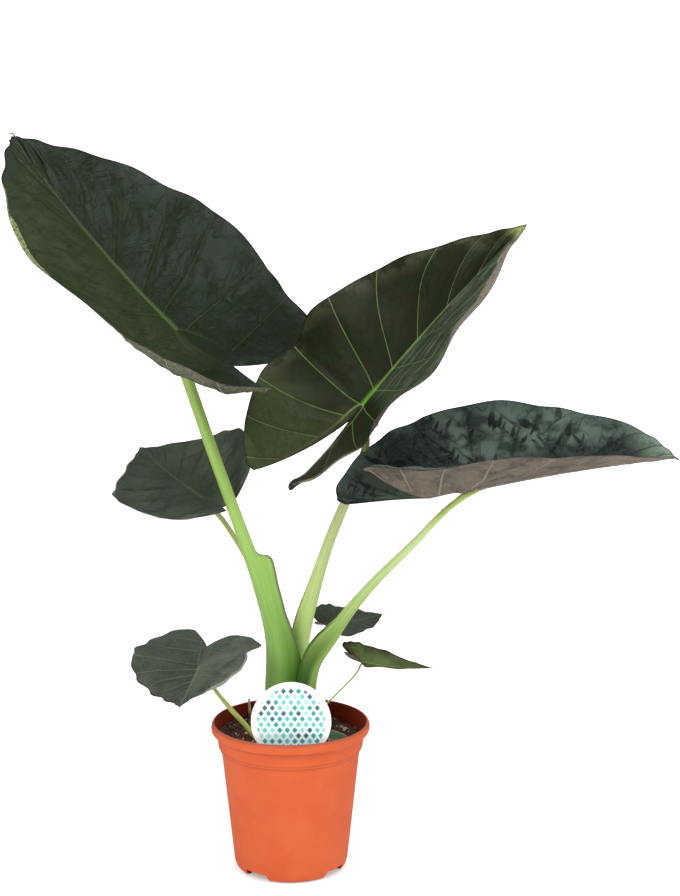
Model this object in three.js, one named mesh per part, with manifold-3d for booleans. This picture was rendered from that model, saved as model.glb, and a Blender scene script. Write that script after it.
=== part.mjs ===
// Potted regal shields alocasia in an orange nursery pot. Millimetres, +Z up, the front faces -Y.
// Origin: the centre of the pot's flat foot, on the floor.
import * as THREE from "three";
import { mergeVertices } from "three/addons/utils/BufferGeometryUtils.js";
import Module from "manifold-3d";

const wasm = await Module();
wasm.setup();

// Driving dimensions

const GAP = 0.35; // clearance between touching pieces
const ROUND_SIDES = 48; // sides of the pot and the soil

const POT = {
  wall: 1.8,
  // outer wall from the foot to the rolled lip, [radius, height]
  outside: [
    [69, 0], [73.5, 1.6], [75.8, 5], [77.4, 11], [93.4, 160], [95.6, 163.5], [96.4, 166],
    [98, 168.5], [99.4, 187], [104.5, 187], [107.2, 190.5], [107.5, 196], [106, 200.5],
    [104, 202], [102, 200.5], [100.2, 195],
  ],
  // inner wall from the lip down to the floor, [radius, height]
  inside: [[97.5, 186], [96.2, 169], [91.6, 159.5], [75.6, 11], [72, 3.4]],
  floor: 2.4,
  notches: 4,
  notchTurn: 8, // degrees from the diagonals
  notchWidth: 36,
  notchHeight: 10,
  notchStart: 52, // radius where a foot notch begins
  drainRadius: 4,
  drainAt: 63,
};

const SOIL = {
  top: 180,
  rise: 7, // swell towards the stems
  tilt: 0.035, // higher on the left than on the right
  lump: 2.2,
  rings: [0.28, 0.52, 0.74, 0.9, 1],
};

const LABEL = {
  centre: [3, -79, 225],
  radius: 52.5,
  thick: 1.2,
  lean: 5, // degrees, top towards the back
  stakeWidth: 16,
  stakeDepth: 88, // from the disc's centre to the stake's point
};

const STRIP = { foot: [-51, 68, 150], width: 3.2, thick: 1.2, height: 56, lean: 9 };

// Shares of the outline parameter where the sinus ends, the joint sits and the blade is widest.
const SINUS_END = 6 / 28;
const JOINT_AT = 10 / 28;
const WIDEST_AT = 12 / 28;
const SIDE_VEINS = 7; // side veins of each half

// Blades. Angles in degrees, lengths in millimetres, three values are [lobe end, joint, tip].
// heading, rise and roll turn the midrib at the joint; droop, sway and twist act along it.
const BLADES = {
  blade_a: {
    joint: [-153, 38, 730], heading: 162, rise: 42, roll: -15,
    midrib: 353, halfWidth: 166, lobe: 190, fused: 99,
    droop: -7, lobeLift: -53, sway: -7, twist: -18,
    lobeOut: 0.52, widest: 0.04, belly: 0.5, tipReach: 0.05, tipFull: 0.12, waves: 4.5,
    left: {
      wide: 1.15, long: 1.16, fold: [-5, 3, 9], curl: [17, 24, 14],
      lip: [56, 9, 0], wave: 2.7, phase: 2,
    },
    right: {
      wide: 1.06, long: 1.02, fold: [1, 18, 26], curl: [7, 16, 6],
      lip: [0, 2, -2], wave: 4.5, phase: -19,
    },
    thick: 1.3, rib: 4.5, puff: 2.4, stations: 28, rows: [0, 0.05, 0.3, 0.58, 0.82, 1],
  },
  blade_b: {
    joint: [98, -24, 637], heading: 0, rise: 51, roll: 66,
    midrib: 313, halfWidth: 134, lobe: 160, fused: 30,
    droop: 4, lobeLift: -33, sway: -5, twist: 3,
    lobeOut: 0.31, widest: 0.07, belly: 0.35, tipReach: 0.08, tipFull: 0.1, waves: 4.8,
    left: {
      wide: 1.01, long: 1.11, fold: [35, 6, 22], curl: [29, -11, 19],
      lip: [1, -15, 2], wave: 8.2, phase: -33,
    },
    right: {
      wide: 1.06, long: 1, fold: [55, 44, 56], curl: [-7, 25, -6],
      lip: [-11, 14, -13], wave: -5.4, phase: 225,
    },
    thick: 1.3, rib: 4.5, puff: 2, stations: 28, rows: [0, 0.05, 0.3, 0.58, 0.82, 1],
  },
  blade_c: {
    joint: [228, -98, 536], heading: 15, rise: 9, roll: 2,
    midrib: 288, halfWidth: 156, lobe: 144, fused: 51,
    droop: 6, lobeLift: 4, sway: -3, twist: 12,
    lobeOut: 0.48, widest: -0.01, belly: 0.45, tipReach: 0.04, tipFull: 0.11, waves: 3.7,
    left: {
      wide: 1.09, long: 0.96, fold: [-16, 18, 41], curl: [37, 12, -19],
      lip: [15, 7, -4], wave: 4.8, phase: 57,
    },
    right: {
      wide: 1.15, long: 0.98, fold: [65, 13, 28], curl: [-49, 15, 4],
      lip: [-30, 6, -1], wave: 1.9, phase: -71,
    },
    thick: 1.3, rib: 4.2, puff: 2.6, stations: 28, rows: [0, 0.05, 0.3, 0.58, 0.82, 1],
  },
  blade_d: {
    joint: [-122, 54, 499], heading: 140, rise: 21, roll: -22,
    midrib: 149, halfWidth: 97, lobe: 64, fused: 19,
    droop: 4, lobeLift: -31, sway: -12, twist: -3,
    lobeOut: 0.11, widest: 0.16, belly: 0.5, tipReach: 0.14, tipFull: 0.07, waves: 4,
    left: {
      wide: 1.14, long: 1.1, fold: [12, 10, 4], curl: [7, -3, -9],
      lip: [38, 31, 27], wave: 1.2, phase: -48,
    },
    right: {
      wide: 1.14, long: 0.95, fold: [27, 20, 7], curl: [9, 16, -15],
      lip: [0, 10, -4], wave: 1.5, phase: 44,
    },
    thick: 1, rib: 2.6, puff: 1.4, stations: 14, rows: [0, 0.07, 0.4, 0.74, 1],
  },
  blade_e: {
    joint: [-119, -42, 289], heading: 246, rise: -42, roll: 13,
    midrib: 70, halfWidth: 97, lobe: 55, fused: 31,
    droop: -12, lobeLift: -9, sway: 3, twist: 9,
    lobeOut: 0.27, widest: 0.07, belly: 0.5, tipReach: 0.19, tipFull: 0.03, waves: 3.9,
    left: {
      wide: 1.14, long: 0.98, fold: [-6, 5, 7], curl: [-8, 16, -18],
      lip: [-6, 16, 6], wave: 1.2, phase: -30,
    },
    right: {
      wide: 1.03, long: 0.99, fold: [5, 13, -2], curl: [5, 11, -7],
      lip: [5, -1, -2], wave: 1.4, phase: 18,
    },
    thick: 1, rib: 2.2, puff: 1.2, stations: 14, rows: [0, 0.07, 0.4, 0.74, 1],
  },
  blade_f: {
    joint: [65, 56, 323], heading: 4, rise: 4, roll: 10,
    midrib: 65, halfWidth: 44, lobe: 32, fused: 10,
    droop: -4, lobeLift: 4, sway: 22, twist: 4,
    lobeOut: 0.37, widest: 0.03, belly: 0.49, tipReach: 0.13, tipFull: 0.07, waves: 3.9,
    left: {
      wide: 0.99, long: 1.03, fold: [19, 7, -1], curl: [21, 1, 10],
      lip: [2, -5, 1], wave: 1.3, phase: -43,
    },
    right: {
      wide: 1.06, long: 1.01, fold: [28, 3, -5], curl: [19, 1, 9],
      lip: [0, -4, 4], wave: 1.2, phase: -38,
    },
    thick: 0.9, rib: 1.4, puff: 0.8, stations: 14, rows: [0, 0.1, 0.5, 1],
  },
  blade_g: {
    joint: [98, 20, 277], heading: 3, rise: -14, roll: 21,
    midrib: 98, halfWidth: 35, lobe: 31, fused: 6,
    droop: -16, lobeLift: -5, sway: 7, twist: 0,
    lobeOut: 0.52, widest: 0.02, belly: 0.4, tipReach: 0.16, tipFull: 0.06, waves: 4,
    left: {
      wide: 0.97, long: 1.01, fold: [15, 8, 9], curl: [5, 3, 4],
      lip: [-1, 0, 0], wave: 1.1, phase: -34,
    },
    right: {
      wide: 1.01, long: 1, fold: [50, 28, 34], curl: [10, 2, 16],
      lip: [0, -4, 2], wave: 1.2, phase: 40,
    },
    thick: 0.9, rib: 1.4, puff: 0.8, stations: 14, rows: [0, 0.1, 0.5, 1],
  },
  blade_h: {
    joint: [55, -40, 186], heading: 20, rise: -4, roll: 30,
    midrib: 24, halfWidth: 17, lobe: 11, fused: 4,
    droop: 12, lobeLift: 0, sway: 0, twist: 0,
    lobeOut: 0.37, widest: 0.1, belly: 0.5, tipReach: 0.15, tipFull: 0.1, waves: 3,
    left: {
      wide: 1, long: 1, fold: [0, 0, 0], curl: [-20, -20, -20],
      lip: [0, 0, 0], wave: 0.5, phase: 0,
    },
    right: {
      wide: 1, long: 1, fold: [0, 0, 0], curl: [-20, -20, -20],
      lip: [0, 0, 0], wave: 0.5, phase: 0,
    },
    thick: 0.9, rib: 0.8, puff: 0.5, stations: 14, rows: [0, 0.12, 0.55, 1],
  },
};

// Leaf stems from the foot in the soil to the joint under the blade, [x, y, z, radius].
const STEMS = {
  stem_a: [
    [-17, -5, 124, 13], [-18, -6, 190, 16], [-18, -6, 243, 16], [-19, -8, 316, 14], [-39, -10, 393, 10.5],
    [-61, -3, 454, 8.6], [-109, 22, 584, 7.8], [-136, 44, 657, 7.8],
  ],
  stem_b: [
    [8, 18, 124, 11], [8, 20, 190, 14], [9, 21, 236, 14], [17, 22, 308, 12], [32, 27, 373, 9],
    [53, 33, 444, 7.5], [71, 36, 498, 6.8], [94, 28, 572, 6.2],
  ],
  stem_c: [
    [16, -13, 124, 12], [17, -13, 190, 15], [19, -13, 245, 15], [30, -16, 287, 13.5], [54, -22, 322, 11],
    [80, -30, 361, 9], [105, -38, 392, 8], [168, -62, 462, 6.6], [212, -86, 518, 6],
  ],
  stem_d: [
    [-28, 20, 128, 3.5], [-29, 22, 235, 4], [-46, 36, 361, 4], [-67, 44, 424, 4], [-101, 50, 478, 3.5],
  ],
  stem_e: [
    [-34, -22, 132, 3.5], [-40, -22, 180, 4], [-56, -24, 199, 4], [-81, -32, 230, 3.2],
    [-102, -38, 260, 2.6],
  ],
  stem_f: [[22, 40, 134, 2], [24, 40, 234, 2], [40, 45, 274, 2], [60, 53, 312, 2]],
  stem_g: [[30, 10, 138, 2.5], [34, 12, 200, 2.5], [56, 15, 232, 2.2], [92, 19, 266, 2]],
};

// Sheaths hugging the three large stems below, each ending in a free shoulder, [x, y, z, radius].
const SHEATHS = {
  stem_a: [
    [-11, -10, 200, 13], [-9, -11, 290, 12], [-16, -12, 350, 10], [-27, -13, 405, 7.5], [-31, -14, 432, 5],
  ],
  stem_b: [[6, 18, 210, 12], [9, 18, 310, 9], [17, 20, 360, 6.5], [22, 21, 382, 4]],
  stem_c: [[20, -12, 210, 12], [22, -12, 268, 11], [30, -10, 302, 9], [41, -12, 330, 5]],
};

const COLOURS = {
  pot: 0xe36c3d,
  soil: 0x33241c,
  blade: 0x36433b,
  stem: 0x93bf55,
  label: 0xf2f5f3,
  strip: 0xd9b98a,
};

// Helpers

const rad = THREE.MathUtils.degToRad;
const mix = THREE.MathUtils.lerp;
const root = new THREE.Group();
root.name = "potted_alocasia";

// A closed triangle mesh as a manifold solid, faces turned outwards.
function toSolid(geometry) {
  const bare = new THREE.BufferGeometry().setAttribute("position", geometry.getAttribute("position"));
  bare.setIndex(geometry.getIndex());
  const merged = mergeVertices(bare, 1e-3);
  const index = merged.getIndex().array;
  const at = merged.getAttribute("position").array;
  const triVerts = [];
  for (let i = 0; i < index.length; i += 3) {
    const [a, b, c] = [index[i], index[i + 1], index[i + 2]];
    if (a !== b && b !== c && c !== a) triVerts.push(a, b, c);
  }
  const corner = (k) => new THREE.Vector3().fromArray(at, 3 * triVerts[k]);
  let volume = 0;
  for (let i = 0; i < triVerts.length; i += 3) {
    volume += corner(i).dot(corner(i + 1).cross(corner(i + 2)));
  }
  if (volume < 0) triVerts.reverse();
  const mesh = { numProp: 3, vertProperties: new Float32Array(at), triVerts: new Uint32Array(triVerts) };
  return new wasm.Manifold(new wasm.Mesh(mesh));
}

function fromLists(points, faces) {
  const geometry = new THREE.BufferGeometry();
  geometry.setAttribute("position", new THREE.Float32BufferAttribute(points.flat(), 3));
  geometry.setIndex(faces.flat());
  return toSolid(geometry);
}

// The largest body of a cut solid.
function mainBody(solid) {
  return solid.decompose().reduce((best, body) => (body.volume() > best.volume() ? body : best));
}

function addPiece(name, solid, colour) {
  const cut = solid.getMesh();
  const geometry = new THREE.BufferGeometry();
  geometry.setAttribute("position", new THREE.BufferAttribute(cut.vertProperties, 3));
  geometry.setIndex(new THREE.BufferAttribute(cut.triVerts, 1));
  geometry.computeVertexNormals();
  const piece = new THREE.Mesh(geometry, new THREE.MeshStandardMaterial({ color: colour, roughness: 0.6 }));
  piece.name = name;
  root.add(piece);
}

// A turned body about +Z from a profile of [radius, height] pairs that starts and ends on the axis.
function turned(profile) {
  const points = profile.map(([r, z]) => new THREE.Vector2(r, z));
  return toSolid(new THREE.LatheGeometry(points, ROUND_SIDES).rotateX(Math.PI / 2));
}

function boxSolid(x, y, z, place) {
  return toSolid(new THREE.BoxGeometry(x, y, z).applyMatrix4(place));
}

function placed(x, y, z, turn = 0) {
  const matrix = new THREE.Matrix4().makeRotationZ(turn);
  return matrix.multiply(new THREE.Matrix4().makeTranslation(x, y, z));
}

// Tubes along a curve through points, each with its own radius

function tube(path, sides, extra = 0, steps = 3) {
  const value = (k, axis) => path[Math.min(Math.max(k, 0), path.length - 1)][axis];
  const spline = (k, t, axis) => {
    const [a, b, c, d] = [value(k - 1, axis), value(k, axis), value(k + 1, axis), value(k + 2, axis)];
    const [slope, bend, twist] = [c - a, 2 * a - 5 * b + 4 * c - d, 3 * b - a - 3 * c + d];
    return b + 0.5 * (slope * t + bend * t * t + twist * t ** 3);
  };
  const rings = [];
  for (let k = 0; k < path.length - 1; k++) {
    for (let s = 0; s < steps; s++) rings.push([0, 1, 2, 3].map((axis) => spline(k, s / steps, axis)));
  }
  rings.push(path[path.length - 1]);
  const centres = rings.map(([x, y, z]) => new THREE.Vector3(x, y, z));
  const points = [];
  const faces = [];
  rings.forEach((ring, i) => {
    const ahead = centres[Math.min(i + 1, rings.length - 1)];
    const along = ahead.clone().sub(centres[Math.max(i - 1, 0)]).normalize();
    const across = new THREE.Vector3(0, 1, 0).cross(along).normalize();
    const up = along.clone().cross(across);
    for (let j = 0; j < sides; j++) {
      const turn = (2 * Math.PI * j) / sides;
      const at = centres[i].clone();
      at.addScaledVector(across, (ring[3] + extra) * Math.cos(turn));
      at.addScaledVector(up, (ring[3] + extra) * Math.sin(turn));
      points.push(at.toArray());
    }
    if (i === 0) return;
    for (let j = 0; j < sides; j++) {
      const [a, b] = [(i - 1) * sides + j, (i - 1) * sides + ((j + 1) % sides)];
      faces.push([a, b, b + sides], [a, b + sides, a + sides]);
    }
  });
  const last = (rings.length - 1) * sides;
  points.push(centres[0].toArray(), centres[rings.length - 1].toArray());
  for (let j = 0; j < sides; j++) {
    const k = (j + 1) % sides;
    faces.push([points.length - 2, k, j], [points.length - 1, last + j, last + k]);
  }
  return fromLists(points, faces);
}

// Blades: a flat heart outline bent along its midrib and across each half

function bezier(points, t) {
  if (points.length === 1) return points[0];
  const next = points.slice(1).map((q, i) => q.map((c, axis) => mix(points[i][axis], c, t)));
  return bezier(next, t);
}

// Inner line of a half: the sinus edge, the fused part behind the joint, then the midrib.
function innerLine(leaf, half, u) {
  const back = leaf.lobe * half.long;
  const out = leaf.lobeOut * leaf.halfWidth * half.wide;
  if (u < SINUS_END) {
    const pull = [-leaf.fused - 0.45 * (back - leaf.fused), 0.3 * out];
    return bezier([[-back, out], pull, [-leaf.fused, 0]], u / SINUS_END);
  }
  if (u < JOINT_AT) return [-leaf.fused * (1 - (u - SINUS_END) / (JOINT_AT - SINUS_END)), 0];
  return [(leaf.midrib * (u - JOINT_AT)) / (1 - JOINT_AT), 0];
}

// Margin of a half, round the lobe to the widest place and on to the tip.
function marginLine(leaf, half, u) {
  const back = leaf.lobe * half.long;
  const wide = leaf.halfWidth * half.wide;
  const out = leaf.lobeOut * wide;
  const far = leaf.widest * leaf.midrib;
  if (u < WIDEST_AT) {
    const round = [[-1.16 * back, out + 0.55 * (wide - out)], [far - 0.56 * (back + far), wide]];
    return bezier([[-back, out], ...round, [far, wide]], u / WIDEST_AT);
  }
  const sweep = [far + leaf.belly * (leaf.midrib - far), wide];
  const point = [leaf.midrib * (1 - leaf.tipReach), wide * leaf.tipFull];
  return bezier([[far, wide], sweep, point, [leaf.midrib, 0]], (u - WIDEST_AT) / (1 - WIDEST_AT));
}

// Value at station x of three given at the lobe end, the joint and the tip.
function along(leaf, values, x) {
  if (x < 0) return mix(values[1], values[0], Math.min(-x / leaf.lobe, 1));
  return mix(values[1], values[2], Math.min(x / leaf.midrib, 1));
}

// Directions of the midrib at station x: forwards, upper face, left.
function midribFrame(leaf, x) {
  const [heading, rise] = [rad(leaf.heading), rad(leaf.rise)];
  const flat = new THREE.Vector3(Math.cos(heading), Math.sin(heading), 0);
  const z = new THREE.Vector3(0, 0, 1);
  const ahead0 = flat.clone().multiplyScalar(Math.cos(rise)).addScaledVector(z, Math.sin(rise));
  const face0 = flat.clone().multiplyScalar(-Math.sin(rise)).addScaledVector(z, Math.cos(rise));
  face0.applyAxisAngle(ahead0, rad(leaf.roll));
  const left0 = face0.clone().cross(ahead0);
  const forward = Math.max(x / leaf.midrib, 0);
  const bend = rad(leaf.lobeLift * Math.max(-x / leaf.lobe, 0) - leaf.droop * forward);
  const swing = rad(leaf.sway * forward);
  const ahead = ahead0.clone().multiplyScalar(Math.cos(bend)).addScaledVector(face0, Math.sin(bend));
  const face = ahead0.clone().multiplyScalar(-Math.sin(bend)).addScaledVector(face0, Math.cos(bend));
  ahead.multiplyScalar(Math.cos(swing)).addScaledVector(left0, Math.sin(swing)).normalize();
  face.addScaledVector(ahead, -face.dot(ahead)).normalize();
  face.applyAxisAngle(ahead, rad(leaf.twist * forward));
  return { ahead, face, left: face.clone().cross(ahead) };
}

// Point of the midrib at station x: its directions summed in short steps from the joint.
function midribPoint(leaf, x) {
  const steps = 16;
  const at = new THREE.Vector3(...leaf.joint);
  for (let i = 0; i < steps; i++) {
    at.addScaledVector(midribFrame(leaf, (x * (i + 0.5)) / steps).ahead, x / steps);
  }
  return at;
}

// Middle surface of a half at outline share u and share v from the inner line to the margin.
// Across the half the slope is fold + curl r + lip r^4, r being the distance over the half width.
function bladePoint(leaf, side, u, v) {
  const half = side > 0 ? leaf.left : leaf.right;
  const [inner, margin] = [innerLine(leaf, half, u), marginLine(leaf, half, u)];
  const [x, y] = [mix(inner[0], margin[0], v), mix(inner[1], margin[1], v)];
  const [fold, curl, lip] = [half.fold, half.curl, half.lip].map((values) => rad(along(leaf, values, x)));
  const slope = (r) => fold + curl * r + lip * r ** 4;
  const steps = 8;
  let [out, up] = [0, 0];
  for (let i = 0; i < steps; i++) {
    const here = slope(((i + 0.5) / steps) * (y / leaf.halfWidth));
    out += (Math.cos(here) * y) / steps;
    up += (Math.sin(here) * y) / steps;
  }
  const ripple = Math.sin(2 * Math.PI * leaf.waves * u + rad(half.phase));
  const wave = half.wave * v * v * Math.sin(Math.PI * u) * ripple;
  const puff = leaf.puff * Math.sin(Math.PI * v) * Math.sin(Math.PI * SIDE_VEINS * u) ** 2;
  const edge = slope(y / leaf.halfWidth);
  const frame = midribFrame(leaf, x);
  const at = midribPoint(leaf, x);
  at.addScaledVector(frame.left, side * out).addScaledVector(frame.face, up);
  at.addScaledVector(frame.face, (wave + puff) * Math.cos(edge));
  return at.addScaledVector(frame.left, -side * (wave + puff) * Math.sin(edge));
}

// A blade as one closed body: both faces share one triangulation, the midrib is raised below.
function blade(leaf, extra = 0) {
  const points = [];
  const ribs = [];
  const found = new Map();
  const vertex = (side, i, j) => {
    const u = i / leaf.stations;
    const at = bladePoint(leaf, side, u, leaf.rows[j]);
    const key = at.toArray().map((c) => Math.round(c * 100)).join();
    if (!found.has(key)) {
      found.set(key, points.length);
      points.push(at);
      const onRib = j === 0 && u > SINUS_END - 1e-6;
      const share = u < JOINT_AT ? (u - SINUS_END) / (JOINT_AT - SINUS_END) : (1 - u) / (1 - JOINT_AT);
      ribs.push(onRib ? leaf.rib * share : 0);
    }
    return found.get(key);
  };
  const faces = [];
  for (const side of [1, -1]) {
    for (let i = 0; i < leaf.stations; i++) {
      for (let j = 0; j < leaf.rows.length - 1; j++) {
        const [a, b] = [vertex(side, i, j), vertex(side, i + 1, j)];
        const [c, d] = [vertex(side, i + 1, j + 1), vertex(side, i, j + 1)];
        for (const face of [[a, b, c], [a, c, d]]) {
          if (new Set(face).size === 3) faces.push(side > 0 ? face : face.reverse());
        }
      }
    }
  }
  const normals = points.map(() => new THREE.Vector3());
  for (const [a, b, c] of faces) {
    const ab = points[b].clone().sub(points[a]);
    const normal = ab.cross(points[c].clone().sub(points[a]));
    for (const k of [a, b, c]) normals[k].add(normal);
  }
  normals.forEach((normal) => normal.normalize());
  const half = leaf.thick / 2 + extra;
  const upper = points.map((p, k) => p.clone().addScaledVector(normals[k], half).toArray());
  const lower = points.map((p, k) => p.clone().addScaledVector(normals[k], -half - ribs[k]).toArray());
  const open = new Map();
  for (const face of faces) {
    face.forEach((a, k) => {
      const b = face[(k + 1) % 3];
      if (!open.delete(b + "," + a)) open.set(a + "," + b, [a, b]);
    });
  }
  const n = points.length;
  const all = [...faces, ...faces.map(([a, b, c]) => [c + n, b + n, a + n])];
  for (const [a, b] of open.values()) all.push([b, a, a + n], [b, a + n, b + n]);
  return fromLists([...upper, ...lower], all);
}

// Pot: turned wall with a rolled lip, raised notches in the foot with drain holes

function notch(extra, height) {
  const { notchStart, notchWidth, notches, notchTurn } = POT;
  const long = 60;
  const parts = Array.from({ length: notches }, (_, i) => {
    const turn = rad(45 + notchTurn + (360 / notches) * i);
    const mid = notchStart - extra + long / 2;
    return boxSolid(long, notchWidth + 2 * extra, 2 * height, placed(mid, 0, 0, turn));
  });
  return wasm.Manifold.union(parts);
}

function drains() {
  const parts = Array.from({ length: POT.notches }, (_, i) => {
    const turn = rad(45 + POT.notchTurn + (360 / POT.notches) * i);
    const hole = new THREE.CylinderGeometry(POT.drainRadius, POT.drainRadius, 40, 12).rotateX(Math.PI / 2);
    return toSolid(hole.applyMatrix4(placed(POT.drainAt, 0, 10, turn)));
  });
  return wasm.Manifold.union(parts);
}

const outer = turned([[0, 0], ...POT.outside, [0, 195]]);
const mouth = [[0, 260], [103, 260], [102, 201], ...POT.outside.slice(-1)];
const hollow = turned([...mouth, ...POT.inside, [69, POT.floor], [0, POT.floor]]);
const cavity = hollow.subtract(notch(POT.wall, POT.notchHeight + POT.wall));
const potWall = outer.subtract(cavity).subtract(notch(0, POT.notchHeight)).subtract(drains());
addPiece("pot", mainBody(potWall), COLOURS.pot);

// Blades and stems; a later piece is cut clear of the earlier ones it meets

const blades = Object.fromEntries(Object.entries(BLADES).map(([name, leaf]) => [name, blade(leaf)]));
for (const [name, solid] of Object.entries(blades)) addPiece(name, solid, COLOURS.blade);

const stemSolids = {};
const stemClearances = [];
for (const [name, path] of Object.entries(STEMS)) {
  const leaf = BLADES[name.replace("stem", "blade")];
  const frame = midribFrame(leaf, 0);
  const joint = new THREE.Vector3(...leaf.joint).addScaledVector(frame.face, -leaf.thick / 2);
  const full = [...path, [...joint.toArray(), path[path.length - 1][3]]];
  const sides = SHEATHS[name] ? 12 : 8;
  let solid = tube(full, sides);
  let grown = tube(full, sides, GAP);
  if (SHEATHS[name]) {
    solid = solid.add(tube(SHEATHS[name], 10));
    grown = grown.add(tube(SHEATHS[name], 10, GAP));
  }
  solid = solid.subtract(blade(leaf, GAP));
  for (const earlier of stemClearances) solid = solid.subtract(earlier);
  stemSolids[name] = mainBody(solid);
  stemClearances.push(grown);
  addPiece(name, stemSolids[name], COLOURS.stem);
}

// Round label with a stake, standing in the soil inside the front of the rim

function label(extra) {
  const { radius, thick, stakeWidth, stakeDepth } = LABEL;
  const shape = new THREE.Shape();
  const step = Math.asin((stakeWidth / 2 + extra) / (radius + extra));
  shape.absarc(0, 0, radius + extra, -Math.PI / 2 + step, 1.5 * Math.PI - step, false);
  shape.lineTo(-stakeWidth / 2 - extra, -stakeDepth + 12);
  shape.lineTo(0, -stakeDepth - 2 * extra);
  shape.lineTo(stakeWidth / 2 + extra, -stakeDepth + 12);
  const options = { depth: thick + 2 * extra, bevelEnabled: false, curveSegments: 36 };
  const body = new THREE.ExtrudeGeometry(shape, options).translate(0, 0, -thick / 2 - extra);
  body.rotateX(Math.PI / 2 - rad(LABEL.lean)).translate(...LABEL.centre);
  return toSolid(body);
}
addPiece("label", label(0), COLOURS.label);

// A dry strip of old leaf sheath standing at the wall
function strip(extra) {
  const { foot, width, thick, height, lean } = STRIP;
  const box = new THREE.BoxGeometry(width + 2 * extra, thick + 2 * extra, height + 2 * extra);
  box.translate(0, 0, height / 2).rotateX(-rad(lean)).rotateZ(rad(35)).translate(...foot);
  return toSolid(box);
}
addPiece("dry_strip", strip(0), COLOURS.strip);

// Soil: follows the pot inside, lumpy above, with plain holes for what stands in it

function soilHeight(x, y) {
  const far = Math.hypot(x, y) / 95;
  const lumps = Math.sin(0.11 * x + 1.3) * Math.cos(0.09 * y - 0.4) + 0.6 * Math.sin(0.23 * x - 0.17 * y);
  return SOIL.top + SOIL.rise * Math.exp(-4 * far * far) - SOIL.tilt * x + SOIL.lump * lumps;
}

function soilBody() {
  const wallAt = (z) => {
    const line = [...POT.inside].reverse();
    const k = Math.max(1, line.findIndex(([, height]) => height >= z));
    const [[r0, z0], [r1, z1]] = [line[k - 1], line[k]];
    return mix(r0, r1, (z - z0) / (z1 - z0)) - GAP;
  };
  const points = [[0, 0, soilHeight(0, 0)]];
  const faces = [];
  const turns = Array.from({ length: ROUND_SIDES }, (_, j) => (2 * Math.PI * j) / ROUND_SIDES);
  for (const share of SOIL.rings) {
    for (const turn of turns) {
      let r = share * 95;
      const z = soilHeight(r * Math.cos(turn), r * Math.sin(turn));
      if (share === 1) r = wallAt(z);
      points.push([r * Math.cos(turn), r * Math.sin(turn), z]);
    }
  }
  const below = [[wallAt(159.5), 159.5], [wallAt(11), 11], [72 - GAP, 3.4 + GAP], [68, POT.floor + GAP]];
  for (const [r, z] of below) {
    for (const turn of turns) points.push([r * Math.cos(turn), r * Math.sin(turn), z]);
  }
  points.push([0, 0, POT.floor + GAP]);
  const ring = (i, j) => 1 + i * ROUND_SIDES + (j % ROUND_SIDES);
  const rings = SOIL.rings.length + below.length;
  for (let j = 0; j < ROUND_SIDES; j++) {
    faces.push([0, ring(0, j), ring(0, j + 1)]);
    for (let i = 0; i < rings - 1; i++) {
      const [a, b, c, d] = [ring(i, j), ring(i + 1, j), ring(i + 1, j + 1), ring(i, j + 1)];
      faces.push([a, b, c], [a, c, d]);
    }
    faces.push([points.length - 1, ring(rings - 1, j + 1), ring(rings - 1, j)]);
  }
  return fromLists(points, faces);
}

const fallen = BLADES.blade_h;
const bed = { ...fallen };
for (const size of ["midrib", "halfWidth", "lobe"]) bed[size] += 1;
const sunk = [...stemClearances, label(GAP), strip(GAP), blade(bed, 2 * GAP)];
const raised = notch(POT.wall + GAP, POT.notchHeight + POT.wall + GAP);
addPiece("soil", mainBody(soilBody().subtract(raised).subtract(wasm.Manifold.union(sunk))), COLOURS.soil);

export default root;
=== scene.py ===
"""Potted regal shields alocasia in an orange nursery pot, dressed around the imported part.

Lengths in the tables are millimetres and angles degrees. +Z is up, the front faces -Y and the
origin is the centre of the pot's flat foot, on the floor.
"""

import math
from functools import partial

import bpy
import numpy as np
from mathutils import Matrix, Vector
from mathutils.geometry import tessellate_polygon


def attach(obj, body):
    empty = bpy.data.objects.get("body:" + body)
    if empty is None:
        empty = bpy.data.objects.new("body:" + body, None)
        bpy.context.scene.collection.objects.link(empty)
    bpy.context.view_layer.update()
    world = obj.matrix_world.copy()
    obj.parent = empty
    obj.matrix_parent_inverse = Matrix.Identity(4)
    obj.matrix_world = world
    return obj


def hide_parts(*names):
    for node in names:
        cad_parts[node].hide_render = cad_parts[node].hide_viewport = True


MM = 0.001
ROUND_TURN = 6.28  # bound of the random phases
LATTICE = 64  # cells after which the noise repeats

POT_OUTSIDE = (
    (69, 0), (73.5, 1.6), (75.8, 5), (77.4, 11), (93.4, 160), (95.6, 163.5), (96.4, 166), (98, 168.5),
    (99.4, 187), (104.5, 187), (107.2, 190.5), (107.5, 196), (106, 200.5), (104, 202), (102, 200.5),
    (100.2, 195),
)
POT_INSIDE = ((97.5, 186), (96.2, 169), (91.6, 159.5), (75.6, 11), (72, 3.4))
POT = dict(
    wall=1.8, floor=2.4, notches=4, notch_turn=53, notch_width=36, notch_height=10, notch_start=52,
    notch_step=1.5, drain_radius=4, drain_at=63, sides=256, spacing=3.5, outer_easing=(1.6, 0.7),
    inner_easing=1.2, floor_radius=69, shaded=73,
)
SOIL = dict(
    top=180, rise=7, tilt=0.035, lump=2.2, reach=95, levels=(159.5, 90, 13), gap=0.35,
    rings=84, sides=264,
)
# Grain of the soil: height, size and seed of three noises
SOIL_GRAINS = ((1.5, 9, 21), (1.1, 4.2, 22), (0.7, 2.3, 23))
# Dent under the leaf scrap: centre, radius and depth
SCRAP_BED = dict(centre=(60, -38), radius=28, depth=2.6, calm=0.7, clear=20)
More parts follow.
